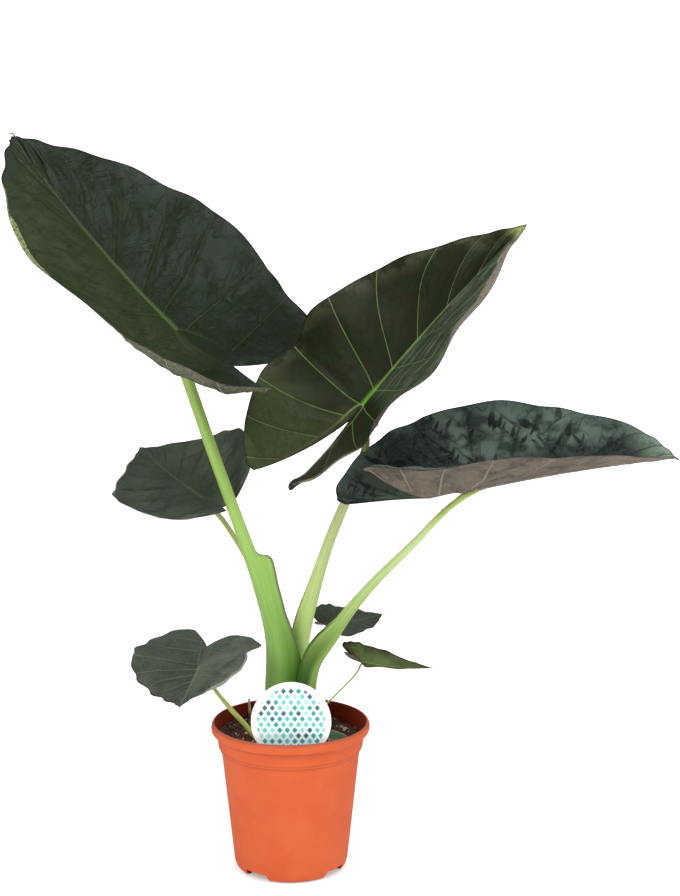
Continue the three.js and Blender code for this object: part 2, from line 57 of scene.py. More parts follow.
# Crumbs: shares are of peat, bark and perlite; one in ten is a fibre
CRUMBS = dict(
    count=1500, reach=92, seed=5, shares=(0.72, 0.2, 0.08), size=0.62, spread=(0.1, 0.4),
    stretch=(0.6, 1.3), fibres=0.1, fibre_shape=(0.35, 0.35, 4.5), uneven=(0.8, 1.2), flattened=0.3,
    sunk=0.4, stem_gap=2,
)
LABEL = dict(
    centre=(3, -79, 225), radius=52.5, thick=1.2, bevel=0.35, lean=5, stake=16, depth=88, taper=12,
    neck=8, steps=160,
)
# Print of the label in metres: a cell, the disc of lozenges, and the tinted margin
PRINT = dict(cell=0.0098, row=0.75, steep=1.5, lozenges=(0.0445, 0.0455), white=(0.0455, 0.0465))
STRIP = dict(foot=(-56, 66, 150), width=5.2, height=60, lean=9, turn=25, narrowing=0.55, sway=0.5, bends=5)

# Shares of the outline parameter where the sinus ends, the joint sits and the blade is widest
SINUS_END = 6 / 28
JOINT_AT = 10 / 28
WIDEST_AT = 12 / 28

# Side veins of a half: outline share where each leaves the rib and where it meets the margin
VEIN_STARTS = (0, 0.07, 0.16, 0.255, 0.345, 0.40, 0.475, 0.575, 0.69, 0.81, 0.91, 1)
VEIN_ENDS = (0, 0.06, 0.19, 0.31, 0.40, 0.52, 0.63, 0.745, 0.855, 0.935, 0.98, 1)

CREASE_SPACING = 25
# How far round the lobe its widest swell sits, a share from the lobe end to the widest place
SHOULDER = 0.55
# Sizes in millimetres of the noises that make the skin uneven
SKIN_NOISE = dict(swell=35, bend=30, patches=34, slant=22, gaps=13)
# Half widths in millimetres of the side vein's ridge and of the midrib's at its tip and foot
RIDGE = dict(vein=2.2, rib_tip=1.2, rib_foot=2.2)
# Distances in millimetres over which each part of the relief fades in
FADES = dict(scallop=40, calm=30, vein=25, rib=12, edge=6)
# How finely the leaf's curves are worked out
SAMPLES = dict(midrib=16, across=8, table=600, lobe=24)
# Stalk tubes: sides, rings a span, and the fine ridges as a share of the radius
STALK = dict(sides=20, winged_sides=48, rings=12, ridges=0.008, ridge_counts=(5, 8, 13, 19))


def leaf_side(wide, long, fold, curl, lip, wave, phase, shoulder=SHOULDER):
    """Form of one half of a blade.

    wide and long are shares of the blade's own. fold, curl and lip bend it, in degrees at the lobe
    end, the joint and the tip. wave is the margin's wave in millimetres and phase in degrees.
    """
    return dict(
        wide=wide, long=long, fold=fold, curl=curl, lip=lip, wave=wave, phase=phase, shoulder=shoulder,
    )


# Blades. Three values are [lobe end, joint, tip]. heading, rise and roll turn the midrib at the
# joint; droop, sway and twist act along it. mesh is [stations, rows] of a half.
LEAVES = {
    "blade_a": dict(
        joint=(-153, 38, 730), heading=162, rise=42, roll=-15,
        midrib=353, half_width=166, lobe=190, fused=99,
        droop=-7, lobe_lift=-53, sway=-7, twist=-18,
        lobe_out=0.52, widest=0.04, belly=0.5, tip_reach=0.05, tip_full=0.12, waves=4.5,
        left=leaf_side(1.15, 1.16, (-5, 3, 9), (17, 24, 14), (56, 9, 0), 2.7, 2),
        right=leaf_side(1.06, 1.02, (1, 18, 26), (7, 16, 6), (0, 2, -2), 4.5, -19),
        thick=0.9, rib=3.6, puff=2.8, crinkle=1.2, crease=1.5, lobe_rib=0.24, scallop=1.4,
        mesh=(294, 84), look="dark",
    ),
    "blade_b": dict(
        joint=(98, -24, 637), heading=0, rise=51, roll=66,
        midrib=313, half_width=134, lobe=160, fused=30,
        droop=4, lobe_lift=-33, sway=-5, twist=3,
        lobe_out=0.31, widest=0.07, belly=0.35, tip_reach=0.08, tip_full=0.1, waves=4.8,
        left=leaf_side(1.01, 1.11, (35, 6, 22), (29, -11, 19), (1, -15, 2), 8.2, -33),
        right=leaf_side(1.06, 1, (63, 44, 56), (-7, 25, -6), (-11, 14, -13), -5.4, 225),
        thick=0.9, rib=3.4, puff=1.8, crinkle=0.6, crease=0.5, lobe_rib=0.11, scallop=1.0,
        mesh=(252, 72), look="olive",
    ),
    "blade_c": dict(
        joint=(228, -98, 536), heading=15, rise=9, roll=2,
        midrib=288, half_width=156, lobe=144, fused=51,
        droop=6, lobe_lift=4, sway=-3, twist=12,
        lobe_out=0.55, widest=-0.01, belly=0.45, tip_reach=0.05, tip_full=0.25, waves=3.7,
        left=leaf_side(1.07, 0.96, (-16, 18, 41), (37, 12, -19), (15, 7, -4), 4.8, 57, shoulder=0.95),
        right=leaf_side(1.15, 0.98, (65, 13, 28), (-49, 15, 4), (-30, 6, -1), 1.9, -71),
        thick=0.9, rib=3.4, puff=3.2, crinkle=1.6, crease=1.8, lobe_rib=0.16, scallop=1.6,
        mesh=(294, 84), look="blue",
    ),
    "blade_d": dict(
        joint=(-122, 54, 499), heading=140, rise=21, roll=-22,
        midrib=149, half_width=97, lobe=64, fused=44,
        droop=4, lobe_lift=-31, sway=-12, twist=-3,
        lobe_out=0.11, widest=0.16, belly=0.5, tip_reach=0.14, tip_full=0.07, waves=4,
        left=leaf_side(1.14, 1.1, (12, 10, 4), (7, -3, -9), (38, 31, 27), 1.2, -48),
        right=leaf_side(1.14, 0.95, (27, 20, 7), (9, 16, -15), (0, 10, -4), 1.5, 44),
        thick=0.8, rib=2.2, puff=1.2, crinkle=0.6, crease=0.5, lobe_rib=0.14, scallop=1.4,
        mesh=(140, 40), look="young",
    ),
    "blade_e": dict(
        joint=(-119, -42, 289), heading=246, rise=-42, roll=13,
        midrib=70, half_width=97, lobe=55, fused=31,
        droop=-12, lobe_lift=-9, sway=3, twist=9,
        lobe_out=0.27, widest=0.07, belly=0.5, tip_reach=0.19, tip_full=0.03, waves=3.9,
        left=leaf_side(1.1, 0.86, (-6, 5, 7), (-8, 16, -18), (-6, 16, 6), 1.2, -30),
        right=leaf_side(1.03, 0.99, (5, 13, -2), (5, 11, -7), (5, -1, -2), 1.4, 18),
        thick=0.8, rib=2.0, puff=1.9, crinkle=0.9, crease=0.7, lobe_rib=0.12, scallop=2.0,
        mesh=(140, 40), look="pale",
    ),
    "blade_f": dict(
        joint=(65, 56, 323), heading=4, rise=4, roll=10,
        midrib=65, half_width=44, lobe=32, fused=24,
        droop=-4, lobe_lift=4, sway=22, twist=4,
        lobe_out=0.37, widest=0.03, belly=0.49, tip_reach=0.13, tip_full=0.07, waves=3.9,
        left=leaf_side(0.99, 1.03, (19, 7, -1), (21, 1, 10), (2, -5, 1), 1.3, -43),
        right=leaf_side(1.06, 1.01, (28, 3, -5), (19, 1, 9), (0, -4, 4), 1.2, -38),
        thick=0.7, rib=1.2, puff=1.4, crinkle=1.3, crease=0.8, lobe_rib=0.12, scallop=0.9,
        mesh=(112, 28), look="young",
    ),
    "blade_g": dict(
        joint=(98, 20, 277), heading=3, rise=-14, roll=21,
        midrib=98, half_width=35, lobe=31, fused=6,
        droop=-16, lobe_lift=-5, sway=7, twist=0,
        lobe_out=0.52, widest=0.02, belly=0.4, tip_reach=0.16, tip_full=0.06, waves=4,
        left=leaf_side(0.97, 1.01, (15, 8, 9), (5, 3, 4), (-1, 0, 0), 1.1, -34),
        right=leaf_side(1.01, 1, (50, 28, 34), (10, 2, 16), (0, -4, 2), 1.2, 40),
        thick=0.7, rib=1.2, puff=0.7, crinkle=0.3, crease=0.3, lobe_rib=0.12, scallop=0.6,
        mesh=(112, 28), look="fresh",
    ),
    "blade_h": dict(
        joint=(59, -42, 188), heading=20, rise=-4, roll=30,
        midrib=27, half_width=21, lobe=14, fused=6,
        droop=12, lobe_lift=0, sway=0, twist=0,
        lobe_out=0.37, widest=0.1, belly=0.5, tip_reach=0.15, tip_full=0.1, waves=3,
        left=leaf_side(1, 1, (0, 0, 0), (-20, -20, -20), (0, 0, 0), 0.5, 0),
        right=leaf_side(1, 1, (0, 0, 0), (-20, -20, -20), (0, 0, 0), 0.5, 0),
        thick=0.7, rib=0.6, puff=0.4, crinkle=0.3, crease=0.2, lobe_rib=0.12, scallop=0.3,
        mesh=(56, 14), look="scrap",
    ),
}

# Stems from the foot in the soil, (x, y, z, radius). A sheath wing widens the foot
# to one side: +1 right or -1 left, heights, widths
STEMS = {
    "stem_a": [
        (-17, -5, 124, 13), (-18, -6, 190, 16), (-18, -6, 243, 16), (-19, -8, 316, 14),
        (-39, -10, 393, 10.5), (-61, -3, 454, 8.6), (-109, 22, 584, 7.8), (-136, 44, 657, 7.8),
    ],
    "stem_b": [
        (7, 18, 124, 10), (7, 20, 190, 12.5), (8, 21, 236, 12.5), (15, 22, 308, 10.5), (31, 27, 373, 8.8),
        (53, 33, 444, 7.5), (75, 36, 498, 6.8), (101, 26, 572, 5.2),
    ],
    "stem_c": [
        (16, -13, 124, 12), (17, -13, 190, 15), (19, -13, 245, 15), (29, -16, 287, 13), (53, -22, 322, 10.4),
        (79, -30, 361, 7.8), (103, -38, 392, 6.6), (165, -62, 462, 5.0), (212, -87, 516, 4.0),
    ],
    "stem_d": [
        (-24, 20, 128, 3.5), (-25, 22, 235, 3.6), (-28, 30, 316, 3.6), (-39, 36, 361, 3.6),
        (-51, 40, 398, 3.6), (-74, 45, 441, 3.6), (-101, 50, 478, 3.4),
    ],
    "stem_e": [
        (-38, -22, 132, 3.4), (-44, -22, 180, 3.6), (-58, -24, 200, 3.6), (-81, -32, 230, 3.2),
        (-102, -38, 260, 2.6),
    ],
    "stem_f": [(22, 40, 134, 2), (24, 40, 234, 2), (40, 45, 274, 2), (60, 53, 312, 2)],
    "stem_g": [(30, 10, 138, 2), (35, 12, 205, 1.5), (57, 15, 228.5, 1.2), (92, 19, 266, 1.2)],
}

WINGS = {
    "stem_a": (
        1, (190, 243, 280, 296, 316, 334, 346, 386, 396, 418, 424, 430),
        (17, 18, 18, 16, 11.5, 9.5, 8, 12, 13.7, 17, 13, 0),
    ),
    "stem_b": (-1, (200, 254, 302, 339, 360, 374, 395, 420), (2, 6, 6, 5.5, 4, 2.6, 1.2, 0)),
    "stem_c": (-1, (250, 287, 304, 318, 330, 345), (0, 1, 5, 6, 4, 0)),
}

# Dry ends of the blades: offsets from the tip and radius
DRIP_TIPS = {
    "blade_a": ((0, 0, -2, 1.5), (1, 0, 2, 1.2), (0, 0, 6.5, 1.0), (-3.5, 0, 8.2, 0.8), (-7, 0, 6.4, 0.5)),
    "blade_c": ((-3, 0, 0, 1.6), (1, 0, 1.4, 1.3), (5.5, 0, -0.6, 1.1), (8, 0, -2, 0.6)),
}

# Shrivelled end of blade B's narrow lobe: offsets from the lobe's end and radius
LOBE_CURL = (
    ((24, 2, 13), 1.5), ((17, -2, 10), 3.6), ((9, -3, 6), 4.2),
    ((2, -3, 2), 4.6), ((-1, -3, -2), 4.0), ((-2, -2, -6), 2.0),
)

# Frame and mesh helpers

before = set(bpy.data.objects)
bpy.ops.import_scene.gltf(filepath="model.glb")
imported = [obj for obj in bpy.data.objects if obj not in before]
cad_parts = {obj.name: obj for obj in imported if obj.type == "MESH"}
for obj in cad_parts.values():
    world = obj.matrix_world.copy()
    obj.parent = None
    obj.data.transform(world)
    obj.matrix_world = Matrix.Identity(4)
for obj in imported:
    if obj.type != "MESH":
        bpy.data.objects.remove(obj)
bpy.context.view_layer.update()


def make_piece(name, points, triangles, materials, pick=None, uvs=None, floats=None):
    """A mesh object from points in millimetres and vertex triples.

    pick gives each triangle its material, uvs hold one pair a corner, floats one value a vertex.
    """
    mesh = bpy.data.meshes.new(name)
    mesh.vertices.add(len(points))
    mesh.vertices.foreach_set("co", (np.asarray(points) * MM).astype(np.float32).ravel())
    mesh.loops.add(3 * len(triangles))
    mesh.loops.foreach_set("vertex_index", np.asarray(triangles, np.int32).ravel())
    mesh.polygons.add(len(triangles))
    mesh.polygons.foreach_set("loop_start", np.arange(0, 3 * len(triangles), 3, dtype=np.int32))
    for material in materials:
        mesh.materials.append(material)
    if pick is not None:
        mesh.polygons.foreach_set("material_index", np.asarray(pick, np.int32))
    for layer, pairs in (uvs or {}).items():
        mesh.uv_layers.new(name=layer).uv.foreach_set("vector", pairs.astype(np.float32).ravel())
    for layer, values in (floats or {}).items():
        attribute = mesh.attributes.new(layer, "FLOAT", "POINT")
        attribute.data.foreach_set("value", values.astype(np.float32).ravel())
    mesh.update(calc_edges=True)
    mesh.shade_smooth()
    mesh.set_sharp_from_angle(angle=math.radians(50))
    piece = bpy.data.objects.new(name, mesh)
    bpy.context.scene.collection.objects.link(piece)
    return piece


def settle(piece, slot, *nodes):
    """The piece rides on the plant's body and stands for the nodes, which are hidden. The slot is not used.
    """
    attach(piece, "root")
    if nodes:
        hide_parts(*nodes)


def grid_triangles(rows, columns, closed=False):
    """Triangles of a grid of vertices; closed joins the last column to the first."""
    across = np.arange(columns if closed else columns - 1)
    low = np.arange(rows - 1)[:, None] * columns
    a = low + across
    b = a + columns
    c = low + columns + (across + 1) % columns
    d = low + (across + 1) % columns
    return np.concatenate([np.stack([a, b, c], -1).reshape(-1, 3), np.stack([a, c, d], -1).reshape(-1, 3)])


def ring_triangles(rings, sides, inwards=False):
    """Triangles of closed rings and of a fan at both ends, whose two middles follow the rings."""
    n, j = rings * sides, np.arange(sides)
    ahead = (j + 1) % sides
    low, high = (j, ahead) if inwards else (ahead, j)
    grid = grid_triangles(rings, sides, closed=True)
    return np.concatenate([
        grid if inwards else grid[:, ::-1],
        np.stack([np.full(sides, n), low, high], -1),
        np.stack([np.full(sides, n + 1), n - sides + high, n - sides + low], -1),
    ])


def noise(x, y, size, seed):
    """Smooth noise from -1 to 1: random values on a square lattice of that size, blended between."""
    table = np.random.default_rng(seed).uniform(-1, 1, (LATTICE, LATTICE))
    cell_x, cell_y = np.floor(x / size), np.floor(y / size)
    part_x, part_y = x / size - cell_x, y / size - cell_y
    part_x, part_y = part_x * part_x * (3 - 2 * part_x), part_y * part_y * (3 - 2 * part_y)
    i, j = cell_x.astype(int) % LATTICE, cell_y.astype(int) % LATTICE
    i2, j2 = (i + 1) % LATTICE, (j + 1) % LATTICE
    near = table[i, j] * (1 - part_x) + table[i2, j] * part_x
    far = table[i, j2] * (1 - part_x) + table[i2, j2] * part_x
    return near * (1 - part_y) + far * part_y


def line_distance(x, y, line):
    """Distance of each point to a polyline."""
    nearest = np.full(np.shape(x), np.inf)
    for (ax, ay), (bx, by) in zip(line[:-1], line[1:]):
        dx, dy = bx - ax, by - ay
        share = np.clip(((x - ax) * dx + (y - ay) * dy) / max(dx * dx + dy * dy, 1e-9), 0, 1)
        nearest = np.minimum(nearest, np.hypot(x - ax - share * dx, y - ay - share * dy))
    return nearest


# Leaf surface: the same heart outline and bends as the part's blades, on a fine grid


def bezier(points, t):
    """Point of a Bezier curve at each t, by repeated blending."""
    level = [np.asarray(p, float) for p in points]
    while len(level) > 1:
        level = [a + (b - a) * t[:, None] for a, b in zip(level, level[1:])]
    return level[0]


def inner_line(leaf, half, u):
    """Sinus edge, then the fused part behind the joint, then the midrib."""
    back = leaf["lobe"] * half["long"]
    out = leaf["lobe_out"] * leaf["half_width"] * half["wide"]
    fused = leaf["fused"]
    pull = (-fused - 0.45 * (back - fused), 0.3 * out)
    sinus = bezier(((-back, out), pull, (-fused, 0)), np.clip(u / SINUS_END, 0, 1))
    behind = -fused * (1 - (u - SINUS_END) / (JOINT_AT - SINUS_END))
    ahead = leaf["midrib"] * (u - JOINT_AT) / (1 - JOINT_AT)
    straight = np.stack([np.where(u < JOINT_AT, behind, ahead), np.zeros_like(u)], -1)
    return np.where((u < SINUS_END - 1e-6)[:, None], sinus, straight)


def margin_line(leaf, half, u):
    """Margin as two Bezier curves: round the lobe to the widest place, and on to the tip."""
    back = leaf["lobe"] * half["long"]
    wide = leaf["half_width"] * half["wide"]
    out = leaf["lobe_out"] * wide
    long = leaf["midrib"]
    far = leaf["widest"] * long
    shoulder = (-1.16 * back, out + half["shoulder"] * (wide - out))
    lobe = ((-back, out), shoulder, (far - 0.56 * (back + far), wide), (far, wide))
    sweep = (far + leaf["belly"] * (long - far), wide)
    blade = ((far, wide), sweep, (long * (1 - leaf["tip_reach"]), wide * leaf["tip_full"]), (long, 0))
    first = bezier(lobe, np.clip(u / WIDEST_AT, 0, 1))
    second = bezier(blade, np.clip((u - WIDEST_AT) / (1 - WIDEST_AT), 0, 1))
    return np.where((u < WIDEST_AT)[:, None], first, second)


def along(leaf, values, x):
    """Value at station x of three given at the lobe end, the joint and the tip."""
    back = np.clip(-x / leaf["lobe"], 0, 1)
    on = np.clip(x / leaf["midrib"], 0, 1)
    return values[1] + (values[0] - values[1]) * back + (values[2] - values[1]) * on


def unit(v):
    """Vectors divided by their lengths."""
    return v / np.linalg.norm(v, axis=-1, keepdims=True)


def midrib_frame(leaf, x):
    """Directions of the midrib at stations x: forwards, upper face, left."""
    heading, rise, roll = (math.radians(leaf[key]) for key in ("heading", "rise", "roll"))
    flat = np.array([math.cos(heading), math.sin(heading), 0])
    up = np.array([0, 0, 1.0])
    ahead0 = flat * math.cos(rise) + up * math.sin(rise)
    face0 = up * math.cos(rise) - flat * math.sin(rise)
    face0 = face0 * math.cos(roll) + np.cross(ahead0, face0) * math.sin(roll)
    left0 = np.cross(face0, ahead0)
    x = np.asarray(x, float)[..., None]
    forward = np.maximum(x / leaf["midrib"], 0)
    bend = np.radians(leaf["lobe_lift"] * np.maximum(-x / leaf["lobe"], 0) - leaf["droop"] * forward)
    swing = np.radians(leaf["sway"] * forward)
    twist = np.radians(leaf["twist"] * forward)
    ahead = ahead0 * np.cos(bend) + face0 * np.sin(bend)
    face = face0 * np.cos(bend) - ahead0 * np.sin(bend)
    ahead = unit(ahead * np.cos(swing) + left0 * np.sin(swing))
    face = unit(face - ahead * (face * ahead).sum(-1, keepdims=True))
    face = face * np.cos(twist) + np.cross(ahead, face) * np.sin(twist)
    return ahead, face, np.cross(face, ahead)


def midrib_point(leaf, x):
    """Points of the midrib at stations x: its directions summed in short steps from the joint."""
    steps = SAMPLES["midrib"]
    x = np.asarray(x, float)[..., None]
    ahead = midrib_frame(leaf, x * (np.arange(steps) + 0.5) / steps)[0]
    return np.array(leaf["joint"], float) + ahead.sum(-2) * x / steps


def lobe_rib(leaf, u):
    """Share from the sinus edge to the margin at which the lobe's own rib runs."""
    return leaf["lobe_rib"] * np.sqrt(1 - np.clip(u / JOINT_AT, 0, 1) ** 2)


def vein_rank(leaf, u, v, seed):
    """Vein rank on the grid, whole numbers on the side veins, its spacing, and where veins show.

    A side vein leaves the midrib, or the rib of the lobe, at its start and bows out to its end.
    """
    rng = np.random.default_rng(seed)
    starts, ends = np.array(VEIN_STARTS), np.array(VEIN_ENDS)
    ends[1:-1] += rng.uniform(-0.012, 0.012, len(ends) - 2)
    first = lobe_rib(leaf, starts)[:, None]
    reach = np.clip((v - first) / (1 - first), 0, 1)
    lines = starts[:, None] + (ends - starts)[:, None] * reach**0.8
    between = (lines[1:] - lines[:-1])[:, None]
    rank = np.clip((u[None, :, None] - lines[:-1, None]) / between, 0, 1).sum(0)
    veined = np.clip((v - lobe_rib(leaf, u)[:, None]) / 0.02, 0, 1)
    return rank, np.broadcast_to(between[:, 0], (len(between), len(v))), veined


def leaf_half(leaf, side, seed):
    """One half of a blade: middle surface, flat place, vein pattern, rib and rim distances.

    Across the half the slope is fold + curl r + lip r^4, r being the distance over the half width.
    Between side veins the skin swells by a power of the sine of the vein rank.
    """
    half = leaf["left" if side > 0 else "right"]
    stations, rows = leaf["mesh"]
    u = np.linspace(0, 1, stations + 1)
    v = np.linspace(0, 1, rows + 1) ** 1.25
    rank, between, veined = vein_rank(leaf, u, v, seed + (1 if side > 0 else 2))
    inner, margin = inner_line(leaf, half, u), margin_line(leaf, half, u)
    # The margin swells a little between the veins and draws in at their ends
    uneven = 1 + 0.8 * noise(u * 9, 0 * u, 1, seed + side)
    swell = leaf["scallop"] * (0.5 - np.cos(2 * math.pi * rank[:, -1])) * uneven
    outwards = margin - inner
    far = np.maximum(np.linalg.norm(outwards, axis=1), 1e-6)
    margin = margin + outwards / far[:, None] * (swell * np.clip(far / FADES["scallop"], 0, 1))[:, None]
    flat = inner[:, None] + (margin - inner)[:, None] * v[:, None]
    x, y = flat[..., 0], flat[..., 1]
    fold, curl, lip = (np.radians(along(leaf, half[key], x)) for key in ("fold", "curl", "lip"))
    steps = SAMPLES["across"]
    out, up = np.zeros_like(y), np.zeros_like(y)
    for i in range(steps):
        share = (i + 0.5) / steps * y / leaf["half_width"]
        here = fold + curl * share + lip * share**4
        out += np.cos(here) * y / steps
        up += np.sin(here) * y / steps
    across = y / leaf["half_width"]
    edge = fold + curl * across + lip * across**4
    band = np.clip(np.floor(rank - 1e-9), 0, len(VEIN_STARTS) - 2).astype(int)
    speed = np.linalg.norm(np.gradient(flat, axis=0), axis=-1) * stations
    gap = speed * np.take_along_axis(between, band, 0)
    # Relief of the skin
    calm = np.clip(gap / FADES["calm"], 0, 1) * np.sin(math.pi * v) ** 0.7
    uneven = 1 + 0.35 * noise(x, side * y, SKIN_NOISE["swell"], seed)
    swell = np.abs(np.sin(math.pi * rank)) ** 1.1 * uneven
    bent = rank + 0.12 * noise(x, side * y, SKIN_NOISE["bend"], seed + 5)
    deep = v + 0 * rank
    crinkle = noise(3.7 * bent, 3.2 * deep, 1, seed + 3) + 0.55 * noise(7.9 * bent, 6.1 * deep, 1, seed + 4)
    # Short creases slant off both sides of each vein, more of them towards the margin
    apart = np.abs(rank - np.round(rank))
    patchy = np.clip(0.45 + 1.2 * noise(x, side * y, SKIN_NOISE["patches"], seed + 7), 0, 1)
    slanted = deep * far[:, None] / CREASE_SPACING + 3 * apart
    slanted = slanted + 0.9 * noise(x, side * y, SKIN_NOISE["slant"], seed + 6)
    broken = np.clip(0.75 + 1.1 * noise(x, side * y, SKIN_NOISE["gaps"], seed + 8), 0, 1)
    crease = (0.5 + 0.5 * np.cos(2 * math.pi * slanted)) ** 3 * patchy * broken * calm * (0.35 + 0.65 * deep)
    ripple = np.sin(2 * math.pi * leaf["waves"] * u + math.radians(half["phase"]))
    wave = half["wave"] * v**2 * (np.sin(math.pi * u) * ripple)[:, None]
    lift = wave + calm * (leaf["puff"] * swell + leaf["crinkle"] * crinkle) - leaf["crease"] * crease
    # Share of painted shade in the creases and the valleys along the veins
    dip = np.clip(crease + 0.6 * calm * (1 - 2 * apart) ** 8, 0, 1)
    # Place along the bent midrib
    table_x = np.linspace(-1.6 * leaf["lobe"], leaf["midrib"], SAMPLES["table"])
    _, face, left = midrib_frame(leaf, table_x)
    rib_line = midrib_point(leaf, table_x)

    def at(values):
        """Values of the table along the midrib, read at each point of the grid."""
        return np.stack([np.interp(x, table_x, values[:, axis]) for axis in range(3)], -1)

    face, left = at(face), at(left)
    middle = at(rib_line) + left * (side * out)[..., None] + face * up[..., None]
    middle += (face * np.cos(edge)[..., None] - left * (side * np.sin(edge))[..., None]) * lift[..., None]
    # Distances on the flat blade
    lobe_u = np.linspace(0.02, JOINT_AT, SAMPLES["lobe"])
    lobe_v = lobe_rib(leaf, lobe_u)
    lobe_in, lobe_out = inner_line(leaf, half, lobe_u), margin_line(leaf, half, lobe_u)
    lobe_line = lobe_in + (lobe_out - lobe_in) * lobe_v[:, None]
    rib = line_distance(x, y, [(0, 0), (leaf["midrib"], 0)])
    lobe = line_distance(x, y, lobe_line)
    sinus = inner[: round(SINUS_END * stations) + 1]
    rim = np.minimum(line_distance(x, y, margin[::2]), line_distance(x, y, sinus[::2]))
    return dict(
        middle=middle, flat=flat * (1, side), rank=rank, gap=gap, rib=rib, lobe=lobe, rim=rim, veined=veined,
        dip=dip, right=np.full_like(rank, side < 0),
    )


def leaf_surface(name, leaf, upper, under):
    """A blade as one closed skin: upper and lower face share one grid and meet at the margin.

    The faces stand off the middle surface by half the thickness. Below, exp(-(distance / width)^2)
    of each vein and rib is added; above, a part of it is taken off.
    """
    seed = sum(ord(letter) for letter in name) * 7
    halves = [leaf_half(leaf, side, seed) for side in (1, -1)]
    stations, rows = leaf["mesh"]
    per_half = (stations + 1) * (rows + 1)

    def both(key, width):
        """A field of the left half, then that of the right."""
        return np.concatenate([half[key].reshape(per_half, width) for half in halves])

    middle, flat = both("middle", 3), both("flat", 2)
    keys = ("rank", "gap", "rib", "lobe", "rim", "veined", "dip", "right")
    fields = {key: both(key, 1)[:, 0] for key in keys}
    # The halves share the midrib and the tip; a lobe end is one point
    owner = np.arange(2 * per_half).reshape(2, stations + 1, rows + 1)
    owner[:, 0, :] = owner[:, 0, :1]
    owner[:, -1, :] = owner[0, -1, 0]
    joined = round(SINUS_END * stations)
    owner[1, joined:, 0] = owner[0, joined:, 0]
    kept, place = np.unique(owner.ravel(), return_inverse=True)
    grid = grid_triangles(stations + 1, rows + 1)
    raw = np.concatenate([grid, grid[:, ::-1] + per_half])
    faces = place[raw]
    whole = (faces[:, 0] != faces[:, 1]) & (faces[:, 1] != faces[:, 2]) & (faces[:, 0] != faces[:, 2])
    raw, faces = raw[whole], faces[whole]
    middle = middle[kept]
    rank, gap, rib, lobe, rim, veined, dip, right = (fields[key][kept] for key in keys)
    forward = flat[kept][:, 0]
    corners = middle[faces]
    facing = np.cross(corners[:, 1] - corners[:, 0], corners[:, 2] - corners[:, 0])
    normal = np.zeros_like(middle)
    for corner in range(3):
        np.add.at(normal, faces[:, corner], facing)
    normal = unit(normal)
    # Thickness, the raised rib and veins below, shallow grooves above
    taper = np.where(forward > 0, 1 - forward / leaf["midrib"], 1 + 0.8 * forward / leaf["lobe"])
    taper = np.clip(taper, 0.05, 1)
    vein_away = np.abs(rank - np.round(rank)) * gap
    fade = np.clip(rim / FADES["vein"], 0, 1)
    vein_ridge = np.exp(-((vein_away / RIDGE["vein"]) ** 2)) * fade * veined
    either = np.minimum(rib, lobe + 0.6)
    rib_half = RIDGE["rib_tip"] + RIDGE["rib_foot"] * taper
    rib_ridge = np.exp(-((either / rib_half) ** 2)) * taper * np.clip(rim / FADES["rib"], 0, 1)
    edge_thin = 0.45 + 0.55 * np.clip(rim / FADES["edge"], 0, 1)
    top = leaf["thick"] / 2 * edge_thin - 0.35 * vein_ridge - 0.2 * leaf["rib"] * rib_ridge
    base = leaf["thick"] / 2 * edge_thin + 0.8 * vein_ridge + leaf["rib"] * rib_ridge
    points = np.concatenate([middle + normal * top[:, None], middle - normal * base[:, None]])
    n = len(middle)
    directed = np.concatenate([faces[:, [0, 1]], faces[:, [1, 2]], faces[:, [2, 0]]])
    there, back = directed[:, 0] * n + directed[:, 1], directed[:, 1] * n + directed[:, 0]
    open_edges = directed[~np.isin(there, back)]
    a, b = open_edges[:, 0], open_edges[:, 1]
    wall = np.concatenate([np.stack([b, a, a + n], -1), np.stack([b, a + n, b + n], -1)])
    triangles = np.concatenate([faces, faces[:, ::-1] + n, wall])
    raw_of = np.concatenate([raw.ravel(), raw[:, ::-1].ravel(), kept[wall.ravel() % n]])
    vein_pairs = np.stack([fields["rank"], fields["gap"] * MM], -1)
    pick = np.concatenate([np.zeros(len(faces)), np.ones(len(faces)), np.ones(len(wall))])
    piece = make_piece(
        name + "_skin", points, triangles, (upper, under), pick,
        uvs={"flat": (flat * MM)[raw_of], "vein": vein_pairs[raw_of]},
        floats={
            "rib": np.tile(rib, 2) * MM, "lobe": np.tile(lobe, 2) * MM, "rim": np.tile(rim, 2) * MM,
            "veined": np.tile(veined, 2), "dip": np.tile(dip, 2), "right": np.tile(right, 2),
        },
    )
    settle(piece, "leaf", name)


# Stems: a smooth curve through points with their own radii


def smooth_path(path, steps):
    """Curve through the points with their radii: on each span a cubic whose end slopes are the
    slopes of the two neighbouring spans, each weighted by the length of the other."""
    path = np.asarray(path, float)
    span = np.linalg.norm(np.diff(path[:, :3], axis=0), axis=1)[:, None]
    slope = np.diff(path, axis=0) / span
    inner = (slope[:-1] * span[1:] + slope[1:] * span[:-1]) / (span[:-1] + span[1:])
    ends = np.concatenate([slope[:1], inner, slope[-1:]])
    t = np.arange(steps)[:, None] / steps
    spans = []
    for a, b, start, end, size in zip(path, path[1:], ends, ends[1:], span):
        rise = (b - a) * t**2 * (3 - 2 * t)
        spans.append(a + rise + size * (start * t * (1 - t) ** 2 - end * t**2 * (1 - t)))
    return np.concatenate(spans + [path[-1:]])


